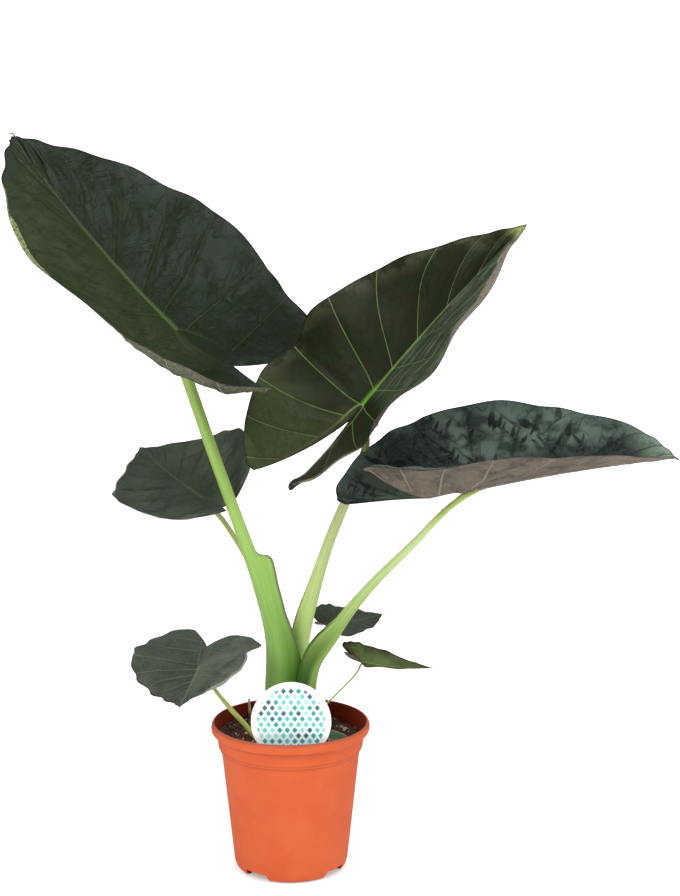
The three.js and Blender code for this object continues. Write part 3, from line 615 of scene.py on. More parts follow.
def tube(path, sides, steps, ridges=0.0, flatten=1.0, wing=None, seed=0):
    """Closed tube along a smooth path; the section is an ellipse with fine ridges.

    At turn t a ring stands radius cos t to the side and radius sin t, flattened, upwards. The
    radius swells by ridges times a sum of four sines of t.
    wing is (side, heights, widths): the section is drawn out to that side, +1 right or -1 left.
    Also gives each vertex its share of the wing's thin edge and how far round to the wing it is.
    """
    rings = smooth_path(path, steps)
    centre, radius = rings[:, :3], rings[:, 3]
    along_path = unit(np.gradient(centre, axis=0))
    across = unit(np.cross((0, 1.0, 0), along_path))
    up = np.cross(along_path, across)
    turn = 2 * math.pi * np.arange(sides) / sides
    length = np.concatenate([[0], np.cumsum(np.linalg.norm(np.diff(centre, axis=0), axis=1))])
    rng = np.random.default_rng(seed)
    profile = sum(
        rng.uniform(0.3, 1) * np.sin(k * turn + rng.uniform(0, ROUND_TURN)) for k in STALK["ridge_counts"]
    )
    size = radius[:, None] * (1 + ridges * profile[None, :])
    wide, edge, flank = size * np.cos(turn), np.zeros_like(size), np.zeros_like(size)
    if wing is not None:
        side, heights, widths = wing
        reach = np.interp(centre[:, 2], heights, widths)[:, None]
        towards = np.clip(side * np.cos(turn), 0, 1)
        flank = flank + 0.5 + 0.5 * side * np.cos(turn)
        wide = wide + side * reach * towards**0.8
        edge = np.clip(reach / 4, 0, 1) * np.clip((towards - 0.88) / 0.06, 0, 1)
    points = centre[:, None] + wide[..., None] * across[:, None]
    points = (points + (size * np.sin(turn) * flatten)[..., None] * up[:, None]).reshape(-1, 3)
    points = np.concatenate([points, centre[:1], centre[-1:]])
    triangles = ring_triangles(len(rings), sides)
    around = np.tile(np.arange(sides) / sides, len(rings))
    pairs = np.stack([around, np.repeat(length, sides) * MM], -1)
    pairs = np.concatenate([pairs, [[0, 0], [0, length[-1] * MM]]])[triangles]
    seam = pairs[..., 0].max(1) - pairs[..., 0].min(1) > 0.5
    pairs[seam, :, 0] = np.where(pairs[seam, :, 0] < 0.5, pairs[seam, :, 0] + 1, pairs[seam, :, 0])
    shares = {"edge": np.append(edge.ravel(), [0, 0]), "flank": np.append(flank.ravel(), [0, 0])}
    return points, triangles, pairs.reshape(-1, 2), shares


def joined(shapes):
    """Several closed shapes as one list of points and triangles."""
    starts = np.cumsum([0] + [len(shape[0]) for shape in shapes])
    points = np.concatenate([shape[0] for shape in shapes])
    return points, np.concatenate([shape[1] + start for shape, start in zip(shapes, starts)])


def stem_path(name):
    """The stem's points, then under the joint and on below the midrib, thinning into the rib."""
    leaf = LEAVES[name.replace("stem", "blade")]
    thick = leaf["thick"] / 2
    radius = STEMS[name][-1][3]
    stations = np.array([0, 0.03, 0.06, 0.1]) * leaf["midrib"]
    sizes = radius * np.array([1, 0.7, 0.4, 0.15])
    under = sizes + thick + 1.5
    at = midrib_point(leaf, stations) - midrib_frame(leaf, stations)[1] * under[:, None]
    return list(STEMS[name]) + [(*point, size) for point, size in zip(at, sizes)]


# Materials

# Detail and roughness of the noise in mottled skins
GRAIN = (3.0, 0.55)

# Roughness and shine of a leaf's underside, and millimetres over which a rolled margin begins
UNDERSIDE = (0.6, 0.25)
ROLL_EASE = 30

# Shader nodes: inputs in the order of their values, the output that is used, the usual settings
NODES = {
    "Math": ((0, 1, 2), 0, {}),
    "Mix": ((0, 6, 7), 2, {"data_type": "RGBA"}),
    "MapRange": (
        ("Value", "From Min", "From Max", "To Min", "To Max"), "Result",
        {"interpolation_type": "SMOOTHSTEP"},
    ),
    "TexNoise": (("Vector", "Scale", "Detail", "Roughness"), 0, {}),
    "TexVoronoi": (("Vector", "Scale"), "Distance", {"feature": "DISTANCE_TO_EDGE"}),
    "TexWhiteNoise": (("Vector",), "Value", {}),
    "Mapping": (("Vector", "Scale", "Location", "Rotation"), 0, {}),
    "VectorMath": ((0,), "Value", {"operation": "LENGTH"}),
    "SeparateXYZ": ((0,), 0, {}),
    "CombineXYZ": ((0, 1, 2), 0, {}),
    "Attribute": ((), "Fac", {}),
    "UVMap": ((), 0, {}),
    "TexCoord": ((), "Object", {}),
    "LightPath": ((), "Is Camera Ray", {}),
    "Bump": (("Height", "Distance", "Strength"), 0, {}),
}


def colour(code):
    """Linear colour of an sRGB hex value."""
    parts = [int(code[k:k + 2], 16) / 255 for k in (1, 3, 5)]
    return (*(c / 12.92 if c <= 0.04045 else ((c + 0.055) / 1.055) ** 2.4 for c in parts), 1)


def fill(tree, socket, value):
    """Links an input to an output, or sets it to a value."""
    if isinstance(value, bpy.types.NodeSocket):
        tree.links.new(value, socket)
    else:
        socket.default_value = value


def add_node(tree, kind, *values, output=None, **settings):
    """Adds a shader node with its settings, fills its inputs in the order of NODES, gives an output.

    A word in capitals is an operation of a Math node.
    """
    if kind.isupper():
        kind, settings = "Math", {"operation": kind}
    inputs, usual, fixed = NODES[kind]
    node = tree.nodes.new("ShaderNode" + kind)
    for key, value in {**fixed, **settings}.items():
        setattr(node, key, value)
    for key, value in zip(inputs, values):
        fill(tree, node.inputs[key], value)
    return node.outputs[usual if output is None else output]


def painted(add, body, coats):
    """The colour with coats laid over it in turn, each a share from 0 to 1 and a colour."""
    for share, tint in coats:
        body = add("Mix", share, body, tint)
    return body


def new_material(name, shader, base, height=None, depth=0.3, strength=1.0):
    """A material with one Principled shader. Its inputs are values, or functions that draw nodes.

    height draws the fine relief, depth is its full height in millimetres.
    """
    material = bpy.data.materials.new(name)
    material.use_nodes = True
    tree = material.node_tree
    add = partial(add_node, tree)
    skin = tree.nodes["Principled BSDF"]
    for key, value in {**shader, "Base Color": base}.items():
        fill(tree, skin.inputs[key], value(add) if callable(value) else value)
    if height is not None:
        fill(tree, skin.inputs["Normal"], add("Bump", height(add), depth * MM, strength))
    return material


def leaf_look(**own):
    """A leaf's colours and measures: its own, and the usual ones for the rest."""
    usual = dict(
        right_from=0.0, back_span=(-0.1, -0.01), pale_lobe=0.0, gloss=0.12, rolled=(),
        rolled_skin=own["skin"], right_back=own["back"], right_margin=own["margin"],
    )
    return {**usual, **own}


# Leaf colours, and how strongly each mark shows. vein_width and rib_width run from the joint to
# the tip, rim_width is the dark seam; all three in millimetres. right_from, back_span and glow are
# metres from the joint, tip_from is a share of the midrib. rolled lists turned-up margins: side,
# width, start and end in millimetres
LOOKS = {
    # Blade A: back and right_back are painted shade on its lobes; mottle patches its right half as painted
    # sheen
    "dark": leaf_look(
        skin="#2e3820", patch="#363f29", right="#1b2818", margin="#2c332c", back="#171c12",
        right_back="#151a10",
        near="#43562b", far="#454e2e", rim="#14120f", net="#242d1c", deep="#141a08", joint="#3a5428",
        tip="#2b2f25",
        under="#52543f", under_patch="#3d3f31", under_vein="#a09e8b", rolled_skin="#97a46c",
        vein_width=(1.5, 0.9), vein=0.6, rib_width=(6.4, 4.0), lobe=0.15, rim_width=2.6, dip=0.6,
        mottle=0.7, folds=0.35, streak=0.2, rough=0.36,
        right_from=-0.3, glow=0.007, tip_from=0.8,
        rolled=((1, 2.5, 150, 300), (1, 11, 105, 240), (1, 2, -60, 130)),
    ),
    # Blade B: right and right_margin are painted lighter, as painted reflection on its right half
    "olive": leaf_look(
        skin="#1f2715", patch="#242216", right="#3b4533", margin="#424430", back="#434e30",
        right_back="#2c2b1c", right_margin="#5f6957",
        near="#6c8a46", far="#7b8e60", rim="#201c14", net="#212a16", deep="#12170a", joint="#63982f",
        tip="#a3b070",
        under="#6c6257", under_patch="#5a5448", under_vein="#82786b", rolled_skin="#857e71",
        vein_width=(1.8, 1.2), vein=0.7, rib_width=(3.8, 1.8), lobe=0.7, rim_width=2.4, dip=0.5,
        mottle=0.2, folds=0.1, streak=0.7, rough=0.42, gloss=0.08,
        glow=0.006, tip_from=0.9, rolled=((-1, 16, 120, 300), (-1, 9, -175, -50)),
    ),
    # Blade C: back is painted shade behind and near the joint; tip is painted paler, as painted sheen
    "blue": leaf_look(
        skin="#556257", patch="#28332b", right="#1d2421", margin="#44534a", back="#121612",
        near="#3a5230", far="#2a3630", rim="#161a16", net="#3c4b41", deep="#0f1410", joint="#4f7a35",
        tip="#82937f",
        under="#685e51", under_patch="#4f463d", under_vein="#8a8070",
        vein_width=(2.4, 1.4), vein=0.5, rib_width=(5, 3), lobe=0.3, rim_width=2.6, dip=0.9, mottle=0.2,
        folds=0.95, streak=0.6, rough=0.32,
        right_from=-0.3, back_span=(-0.02, 0.03), pale_lobe=0.5, glow=0.004, tip_from=0.78,
    ),
    # Blades D and F: back is painted lighter, as painted light on their lobes
    "young": leaf_look(
        skin="#4a5346", patch="#40493d", right="#505a4c", margin="#3a4038", back="#727d6b",
        near="#4c5845", far="#4b5546", rim="#231d1e", net="#495244", deep="#23291f", joint="#525f44",
        tip="#4a5246",
        under="#868a70", under_patch="#70725c", under_vein="#9a9c84", rolled_skin="#757c70",
        vein_width=(1.4, 0.8), vein=0.4, rib_width=(2.6, 1.6), lobe=0.4, rim_width=2.2, dip=0.5,
        mottle=0.3, folds=0.5, streak=0.1, rough=0.45,
        glow=0.003, tip_from=0.9, rolled=((1, 2.4, -10, 145),),
    ),
    "pale": leaf_look(
        skin="#5c6557", patch="#41483c", right="#3e453a", margin="#4a5046", back="#4c5448",
        near="#646e5c", far="#6f7a66", rim="#33302c", net="#4e5848", deep="#2a3027", joint="#626e58",
        tip="#566050",
        under="#8c8f80", under_patch="#787a6c", under_vein="#a0a292", rolled_skin="#8c8f82",
        vein_width=(1.6, 1.0), vein=0.6, rib_width=(2.6, 1.6), lobe=0.4, rim_width=2.0, dip=0.6,
        mottle=0.2, folds=0.25, streak=0.2, rough=0.45,
        right_from=-0.2, glow=0.003, tip_from=0.9, rolled=((1, 6, -30, 66),),
    ),
    "fresh": leaf_look(
        skin="#6a7c46", patch="#546238", right="#465232", margin="#4a3f2c", back="#54643a",
        near="#788a4c", far="#5f6e40", rim="#2a1e1c", net="#5a6840", deep="#2c3320", joint="#7a9050",
        tip="#3f3c2c",
        under="#7d6c5c", under_patch="#63544a", under_vein="#8d7f70",
        vein_width=(1.2, 0.7), vein=0.4, rib_width=(2.0, 1.2), lobe=0.4, rim_width=5.0, dip=0.5,
        mottle=0.2, folds=0.1, streak=0.3, rough=0.42, gloss=0.15,
        glow=0.003, tip_from=0.7,
    ),
    "scrap": leaf_look(
        skin="#4f7058", patch="#3d5444", right="#54705a", margin="#8a7f62", back="#4f7058",
        near="#6f7f5c", far="#66755a", rim="#b09a80", net="#5c6a50", deep="#2c3428", joint="#6f7f5c",
        tip="#8a8060",
        under="#8a8468", under_patch="#776f54", under_vein="#989274",
        vein_width=(1.2, 0.7), vein=0.3, rib_width=(1.8, 1.0), lobe=0.3, rim_width=2.0, dip=0.4,
        mottle=0.3, folds=0.2, streak=0.2, rough=0.6, gloss=0.1,
        glow=0.002, tip_from=0.8,
    ),
}


def folds(add, flat):
    """Short sharp folds of the skin on two slants to the midrib, more of them in patches.

    A fold is where a noise drawn out along the slant, 50 mm long and 10 mm wide, passes 0.56.
    """
    across = add("ABSOLUTE", add("SeparateXYZ", flat, output=1))
    place = add("CombineXYZ", add("SeparateXYZ", flat), across)
    drawn = []
    for slant, start in ((60, 0.0), (109, 0.7)):
        turn = (0, 0, math.radians(slant))
        slanted = add("Mapping", place, (50 * MM, 10 * MM, 1), (start, 0, 0), turn, vector_type="TEXTURE")
        drawn.append(add("MapRange", add("TexNoise", slanted, 1.0, 1.0), 0.56, 0.62))
    dense = add("MapRange", add("TexNoise", flat, 1 / (50 * MM), *GRAIN), 0.4, 0.58, 0.35, 1.0)
    from_rib = add("MapRange", across, 0.01, 0.06, 0.4, 1.0)
    return add("MULTIPLY", add("MAXIMUM", *drawn), add("MULTIPLY", dense, from_rib))


def leaf_marks(add, look):
    """Where veins, ribs, patches and the fine net show, from the distances stored with the leaf.

    A vein shows where its distance, over its width at that reach from the joint, is small.
    """
    flat = add("UVMap", uv_map="flat")
    vein = add("UVMap", uv_map="vein")
    reach = add("VectorMath", flat)
    names = ("rib", "rim", "lobe", "veined")
    rib, rim, lobe, shown = (add("Attribute", attribute_name=name) for name in names)
    from_vein = add("PINGPONG", add("SeparateXYZ", vein), 0.5)
    away = add("MULTIPLY", from_vein, add("SeparateXYZ", vein, output=1))
    width = add("MapRange", reach, 0.0, 0.26, *(part * MM for part in look["vein_width"]))
    rib_width = add("MapRange", reach, 0.0, 0.3, *(part * MM for part in look["rib_width"]))
    lobe_share = add("DIVIDE", lobe, add("MULTIPLY", rib_width, 0.7))
    from_joint = add("MapRange", reach, 0.015, 0.06, 1.0, 0.15)
    cells = add("TexVoronoi", flat, 1 / (7 * MM))
    return dict(
        flat=flat, reach=reach, rib=rib, rim=rim, ahead=add("SeparateXYZ", flat),
        side_vein=add("MULTIPLY", add("MapRange", add("DIVIDE", away, width), 0.25, 0.75, 1.0, 0.0), shown),
        mid_rib=add("MapRange", add("DIVIDE", rib, rib_width), 0.15, 0.85, 1.0, 0.0),
        lobe_rib=add("MULTIPLY", add("MapRange", lobe_share, 0.3, 0.8, 1.0, 0.0), from_joint),
        patch=add("MapRange", add("TexNoise", flat, 1 / (40 * MM), *GRAIN), 0.42, 0.62),
        net=add("MapRange", cells, 0.0, 0.12, 0.3, 0.0),
    )


def upper_face(add, look, tint):
    """Dark patched skin; over it the right half and the back of the lobes, partly painted light and
    shade, painted shade in folds, valleys and by the midrib, a patchy margin band, veins, joint,
    rim and rolls.
    """
    marks = leaf_marks(add, look)
    flat, reach, rib, rim, ahead = (marks[key] for key in ("flat", "reach", "rib", "rim", "ahead"))
    right = add("Attribute", attribute_name="right")
    beyond = add("MapRange", ahead, look["right_from"], look["right_from"] + 0.04)
    on_right = add("MULTIPLY", right, beyond)
    mottled = add("Mix", add("MULTIPLY", marks["patch"], look["mottle"]), tint["right"], tint["deep"])
    behind = add("Mix", right, tint["back"], tint["right_back"])
    lines = add("TexNoise", add("Mapping", flat, (14, 160, 1)), 1.0, 3.0)
    lines = add("MULTIPLY", add("MapRange", lines, 0.48, 0.62, 0.0, look["streak"]), on_right)
    margin_band = add("MapRange", add("TexNoise", flat, 1 / (30 * MM), *GRAIN), 0.4, 0.6)
    margin_band = add("MULTIPLY", add("MapRange", rim, 0.002, 0.03, 0.9, 0.0), margin_band)
    veins = add("Mix", add("MapRange", reach, 0.02, 0.2), tint["near"], tint["far"])
    glow = add("MapRange", rib, 0.001, look["glow"], 0.8, 0.0)
    glow = add("MULTIPLY", glow, add("MapRange", reach, 0.004, 0.05, 1.0, 0.0))
    tip = (look["length"] * look["tip_from"], look["length"] * 0.98)
    dip = add("MULTIPLY", add("Attribute", attribute_name="dip"), look["dip"])
    strong = add("MapRange", reach, 0.08, 0.26, 0.9, 0.5)
    coats = [
        (marks["patch"], tint["patch"]),
        # The right half's colour: on blade B painted lighter as painted reflection, on blade A patched as
        # painted sheen
        (on_right, mottled),
        # Painted shade on the back of the lobes of blades A and C, painted light on those of the young
        # blades
        (add("MapRange", ahead, *look["back_span"], 0.85, 0.0), behind),
        # Blade C's lobe turns half back to the skin colour towards its end
        (add("MapRange", ahead, -0.1, -0.04, look["pale_lobe"], 0.0), tint["skin"]),
        # Painted shade towards the midrib, in the fold along it
        (add("MapRange", rib, 0.01, 0.07, 0.9 * look["folds"], 0.0), tint["deep"]),
        (lines, tint["right_margin"]),
        # Painted shade in the folds of the skin
        (add("MULTIPLY", folds(add, flat), look["folds"]), tint["deep"]),
        # A patchy band of the margin colour near the rim
        (margin_band, add("Mix", on_right, tint["margin"], tint["right_margin"])),
        # The tip's colour; blade C's pale tip is painted sheen
        (add("MapRange", ahead, *tip, 0.0, 0.85), tint["tip"]),
        (marks["net"], tint["net"]),
        (add("MULTIPLY", marks["side_vein"], look["vein"]), veins),
        (add("MULTIPLY", marks["lobe_rib"], look["lobe"]), veins),
        (add("MULTIPLY", marks["mid_rib"], strong), veins),
        (glow, tint["joint"]),
        # Painted shade in the creases and vein valleys
        (dip, tint["deep"]),
        (add("MapRange", rim, 0.0008, look["rim_width"] * MM, 0.9, 0.0), tint["rim"]),
    ]
    streaks = add("MapRange", add("TexNoise", flat, 1 / (4 * MM), *GRAIN), 0.4, 0.6)
    turned_up = add("Mix", streaks, tint["rolled_skin"], tint["under"])
    for side, width, start, end in look["rolled"]:
        shown = add("MapRange", right, 0.4, 0.6, float(side > 0), float(side < 0))
        shown = add("MULTIPLY", shown, add("MapRange", ahead, start * MM, (start + ROLL_EASE) * MM))
        ending = add("MapRange", ahead, (end - ROLL_EASE) * MM, end * MM, width * MM, 0.0)
        past = add("SUBTRACT", rim, add("MULTIPLY", shown, ending))
        coats.append((add("MapRange", past, -0.0012, -0.0002, 0.9, 0.0), turned_up))
    return painted(add, tint["skin"], coats)


def lower_face(add, look, tint):
    """Brownish underside with paler specks, net and veins, and a dark seam at the rim."""
    marks = leaf_marks(add, look)
    specks = add("TexNoise", marks["flat"], 1 / (4 * MM), *GRAIN)
    return painted(add, tint["under"], [
        (marks["patch"], tint["under_patch"]),
        (add("MapRange", specks, 0.5, 0.72, 0.0, 0.5), tint["under_vein"]),
        (add("MapRange", marks["ahead"], 0.1, 0.25, 0.0, 0.5), tint["under_vein"]),
        (add("MULTIPLY", marks["net"], 0.5), tint["under_vein"]),
        (add("MULTIPLY", marks["side_vein"], 0.8), tint["under_vein"]),
        (add("MULTIPLY", marks["mid_rib"], 0.8), tint["under_vein"]),
        (add("MapRange", marks["rim"], 0.0005, 0.0018, 0.6, 0.0), tint["rim"]),
    ])


def skin_relief(add, look, upper):
    """A fine swell with the veins sunk into the upper face, or raised from the lower one."""
    marks = leaf_marks(add, look)
    swell = add("TexNoise", marks["flat"], 1 / (10 * MM), 2.0, GRAIN[1])
    veins = add("MAXIMUM", add("MAXIMUM", marks["side_vein"], marks["mid_rib"]), marks["lobe_rib"])
    raised = add("MULTIPLY_ADD", veins, -1.2 if upper else 1.2, swell)
    if not upper:
        return raised
    return add("MULTIPLY_ADD", folds(add, marks["flat"]), -3.0 * look["folds"], raised)


def leaf_material(name, look, upper):
    """Living leaf skin under a waxy cuticle: dark, softly shiny, veins paler, margin nearly black.

    The underside has no wax, so it is duller.
    """
    tint = {key: colour(value) for key, value in look.items() if isinstance(value, str)}
    rough, gloss = (look["rough"], look["gloss"]) if upper else UNDERSIDE
    shader = {"Roughness": rough, "Specular IOR Level": gloss}
    face = partial(upper_face if upper else lower_face, look=look, tint=tint)
    return new_material(name, shader, face, partial(skin_relief, look=look, upper=upper), 0.6, 0.8)


def petiole_material(name, look):
    """Smooth fleshy leaf stalk: green, faint lengthwise streaks, a satin shine.

    The colour runs from foot to middle, top and neck. The darker foot is partly painted shade where
    the stalks crowd, and stalk B's dark neck is painted shade. The sheath's flank is painted a deeper
    green towards the foot, as painted shade, and its thin edge is dry and brown.
    """
    tint = {key: colour(value) for key, value in look.items() if isinstance(value, str)}

    def around(add):
        """Place on a round stalk, so that no seam shows, and the height along it."""
        path = add("UVMap", uv_map="path")
        turn = add("MULTIPLY", add("SeparateXYZ", path), 2 * math.pi)
        up = add("SeparateXYZ", path, output=1)
        return add("CombineXYZ", add("SINE", turn), add("COSINE", turn), up), up

    def base(add):
        """Colours from the foot up, then streaks, painted shade on the sheath's flank, flecks and its dry
        edge.
        """
        place, up = around(add)
        streaks = add("TexNoise", add("Mapping", place, (4.5, 4.5, 7)), 1.0, 5.0)
        spots = add("TexNoise", add("Mapping", place, (5.0, 5.0, 260)), 1.0, 2.0)
        flank = add("MapRange", add("Attribute", attribute_name="flank"), *look["flank"])
        low = add("MapRange", up, 0.13, 0.26, 0.9, 0.0)
        above = add("MapRange", up, 0.17, 0.2, 0.0, 0.85)
        # The darker foot is partly painted shade; stalk B's dark neck is painted shade
        return painted(add, tint["foot"], [
            (add("MapRange", up, 0.07, 0.16), tint["middle"]),
            (add("MapRange", up, 0.16, 0.42), tint["top"]),
            (add("MapRange", up, 0.41, 0.45), tint["neck"]),
            (add("MapRange", streaks, 0.42, 0.75, 0.0, 0.45), tint["streak"]),
            (add("MapRange", streaks, 0.3, 0.5, 0.3, 0.0), tint["foot"]),
            # Painted shade on the sheath's flank, fading out up the stalk
            (add("MULTIPLY", flank, low), tint["shade"]),
            (add("MapRange", spots, 0.66, 0.72, 0.0, 0.35), tint["fleck"]),
            (add("MULTIPLY", add("Attribute", attribute_name="edge"), above), tint["dry"]),
        ])

    def height(add):
        """Shallow dents, longer along the stalk than round it."""
        return add("TexNoise", add("Mapping", around(add)[0], (9, 9, 4)), 1.0, 2.0)

    return new_material(name, {"Roughness": 0.45, "Specular IOR Level": 0.25}, base, height, 0.6, 0.5)


# Painted shade in the creases of the pot: height, half width, share of painted shade
POT_CREASE_SHADE = ((186.5, 1.6, 0.75), (168.5, 1.2, 0.45), (164, 1.2, 0.55))


def pot_base(add):
    """Orange, with painted shade in the creases under the lip and at the steps, and painted shade along the
    crest.
    """
    place = add("TexCoord")
    height = add("SeparateXYZ", place, output=2)
    cloud = add("MapRange", add("TexNoise", place, 1 / (50 * MM), *GRAIN), 0.35, 0.65)
    coats = [(cloud, colour("#d4602f"))]
    # Each crease darkened as painted shade
    for crease, half, share in POT_CREASE_SHADE:
        away = add("ABSOLUTE", add("SUBTRACT", height, crease * MM))
        coats.append((add("MapRange", away, half * 0.3 * MM, half * MM, share, 0.0), colour("#a5401a")))
    # The lip's crest painted darker and pinker, as painted shade
    coats.append((add("MapRange", height, 0.1965, 0.2, 0.0, 0.85), colour("#a85238")))
    return painted(add, colour("#d05828"), coats)


def pot_height(add):
    """Shallow level bands, as the mould leaves them."""
    return add("TexNoise", add("Mapping", add("TexCoord"), (12, 12, 60)), 1.0, 2.0)


# Injection-moulded polypropylene: satin, slightly uneven from the mould
pot_plastic = new_material(
    "moulded_polypropylene", {"Roughness": 0.5, "Specular IOR Level": 0.32}, pot_base, pot_height, 0.5, 0.4,
)
# The same where it is always in shade: darker, without the shine
pot_inside = new_material(
    "moulded_polypropylene_shaded", {"Roughness": 0.7, "Specular IOR Level": 0.05}, colour("#6b230c"),
)


def peat_base(add):
    """Dark brown grains of 6 mm, with paler fibres of 2.5 mm."""
    place = add("TexCoord")
    fibres = add("TexNoise", place, 1 / (2.5 * MM), *GRAIN)
    return painted(add, colour("#2d1c17"), [
        (add("TexNoise", place, 1 / (6 * MM), *GRAIN), colour("#604538")),
        (add("MapRange", fibres, 0.6, 0.72), colour("#7d6350")),
    ])


def peat_height(add):
    """Crumbs of 2 mm."""
    return add("TexNoise", add("TexCoord"), 1 / (2 * MM), *GRAIN)


# Damp peat and coir potting mix: dull, crumbly, with paler fibres
peat = new_material(
    "potting_mix", {"Roughness": 0.95, "Specular IOR Level": 0.15}, peat_base, peat_height, 1, 0.8,
)
# Pine bark: dull, reddish brown
bark = new_material("bark_crumb", {"Roughness": 0.9, "Specular IOR Level": 0.2}, colour("#4d3423"))
# Perlite and pale grit: dull, dusty white
pale_crumb = new_material("pale_crumb", {"Roughness": 0.8, "Specular IOR Level": 0.25}, colour("#b9ab98"))


# Pot: a turned profile with raised notches in its foot


def rounded(profile, cut):
    """The profile with each corner replaced by two points at most cut away from it."""
    profile = np.asarray(profile, float)
    made = [profile[0]]
    for before, corner, after in zip(profile, profile[1:], profile[2:]):
        for other in (before, after):
            reach = np.linalg.norm(other - corner)
            made.append(corner + (other - corner) * min(0.3, cut / reach))
    return np.array(made + [profile[-1]])


def spaced(profile, step):
    """The profile with points added so that none is further than step from the next."""
    made = []
    for a, b in zip(profile, profile[1:]):
        count = max(1, math.ceil(np.linalg.norm(b - a) / step))
        made.extend(a + (b - a) * k / count for k in range(count))
    return np.array(made + [profile[-1]])


def notch_turns():
    """Angles at which the foot notches stand, in radians."""
    return [math.radians(POT["notch_turn"] + 360 / POT["notches"] * k) for k in range(POT["notches"])]


def notch_share(x, y, grow):
    """1 inside a foot notch, 0 outside, over a short step at its sides."""
    share = np.zeros_like(x)
    for turn in notch_turns():
        out = x * math.cos(turn) + y * math.sin(turn)
        side = np.abs(y * math.cos(turn) - x * math.sin(turn))
        inside = np.clip((out - POT["notch_start"] + grow) / POT["notch_step"] + 0.5, 0, 1)
        between = np.clip((POT["notch_width"] / 2 + grow - side) / POT["notch_step"] + 0.5, 0, 1)
        share = np.maximum(share, inside * between)
    return share


def raise_foot(points, profile, notch_height, grow):
    """Lifts the low rings into the notches; a lifted ring keeps to the wall's own line."""
    lift = notch_height * notch_share(points[:, 0], points[:, 1], grow)
    height = np.maximum(points[:, 2], lift)
    line = np.asarray(sorted((z, r) for r, z in profile))
    radius = np.hypot(points[:, 0], points[:, 1])
    on_wall = np.interp(height, line[:, 0], line[:, 1])
    lifted = (height > points[:, 2]) & (radius > profile[0][0] - 1)
    scale = np.where(lifted, on_wall / np.maximum(radius, 1), 1)
    return np.stack([points[:, 0] * scale, points[:, 1] * scale, height], -1)


def turned(profile, sides):
    """Points of a profile turned round the axis, ring by ring, with its two ends on the axis."""
    turn = 2 * math.pi * np.arange(sides) / sides
    radius, height = profile[1:-1, 0], profile[1:-1, 1]
    level = np.repeat(height[:, None], sides, 1)
    rings = np.stack([np.outer(radius, np.cos(turn)), np.outer(radius, np.sin(turn)), level], -1)
    rings = rings.reshape(-1, 3)
    ends = [(0, 0, profile[0, 1]), (0, 0, profile[-1, 1])]
    return np.concatenate([rings, ends]), ring_triangles(len(radius), sides)


def make_pot():
    """The outer and inner profile turned as one skin, its foot raised into notches and drilled."""
    foot = [(0, 0), (30, 0), (50, 0)]
    outer = np.array(foot + list(POT_OUTSIDE), float)
    for cut in POT["outer_easing"]:
        outer = rounded(outer, cut)
    outer = spaced(outer, POT["spacing"])
    floor = [(POT["floor_radius"], POT["floor"]), (0, POT["floor"])]
    inner = np.array(list(POT_OUTSIDE[-1:]) + list(POT_INSIDE) + floor, float)
    inner = spaced(rounded(inner, POT["inner_easing"]), POT["spacing"])
    outer_points, _ = turned(np.concatenate([outer, [(0, 0)]]), POT["sides"])
    outer_points = raise_foot(outer_points[:-2], POT_OUTSIDE, POT["notch_height"], 0)
    inner_points, _ = turned(np.concatenate([[(0, 0)], inner]), POT["sides"])
    height = POT["notch_height"] + POT["wall"]
    inner_points = raise_foot(inner_points[:-2], POT_INSIDE[::-1], height, POT["wall"])
    points, triangles = turned(np.concatenate([outer, inner[1:]]), POT["sides"])
    points[: len(outer_points)] = outer_points
    points[len(outer_points):-2] = inner_points[POT["sides"]:]
    # The inside below the lip and the hollows of the foot are always in shade
    ring = triangles.max(1) // POT["sides"]
    crest = int(np.argmax(outer[:, 1]))
    radius = np.hypot(*points[triangles].mean(1)[:, :2].T)
    shaded = (ring > crest + 1) | (radius < POT["shaded"])
    pot = make_piece("pot_shell", points, triangles, (pot_plastic, pot_inside), shaded)
    cutters = []
    for turn in notch_turns():
        at = (POT["drain_at"] * math.cos(turn), POT["drain_at"] * math.sin(turn))
        path = [(*at, -10, POT["drain_radius"]), (*at, 30, POT["drain_radius"])]
        cutters.append(tube(path, 24, 2))
    cutter = make_piece("drain_holes", *joined(cutters), ())
    cut = pot.modifiers.new("drains", "BOOLEAN")
    cut.object, cut.operation, cut.solver = cutter, "DIFFERENCE", "EXACT"
    shape = bpy.context.evaluated_depsgraph_get()
    pot.data = bpy.data.meshes.new_from_object(pot.evaluated_get(shape))
    pot.modifiers.clear()
    bpy.data.objects.remove(cutter)
    settle(pot, "pot", "pot")


# Soil and its crumbs


def soil_height(x, y):
    """Swell towards the stems, slope to the right, broad lumps."""
    far = np.hypot(x, y) / SOIL["reach"]
    lumps = np.sin(0.11 * x + 1.3) * np.cos(0.09 * y - 0.4) + 0.6 * np.sin(0.23 * x - 0.17 * y)
    return SOIL["top"] + SOIL["rise"] * np.exp(-4 * far**2) - SOIL["tilt"] * x + SOIL["lump"] * lumps


def from_scrap(x, y):
    """Distance from the middle of the leaf scrap that lies on the soil."""
    return np.hypot(x - SCRAP_BED["centre"][0], y - SCRAP_BED["centre"][1])


def soil_surface(x, y):
    """Soil height with its grains, calmer and dented by exp(-(distance / radius)^4) under the scrap."""
    fine = sum(height * noise(x, y, size, seed) for height, size, seed in SOIL_GRAINS)
    pressed = np.exp(-(from_scrap(x, y) / SCRAP_BED["radius"]) ** 4)
    return soil_height(x, y) + fine * (1 - SCRAP_BED["calm"] * pressed) - SCRAP_BED["depth"] * pressed


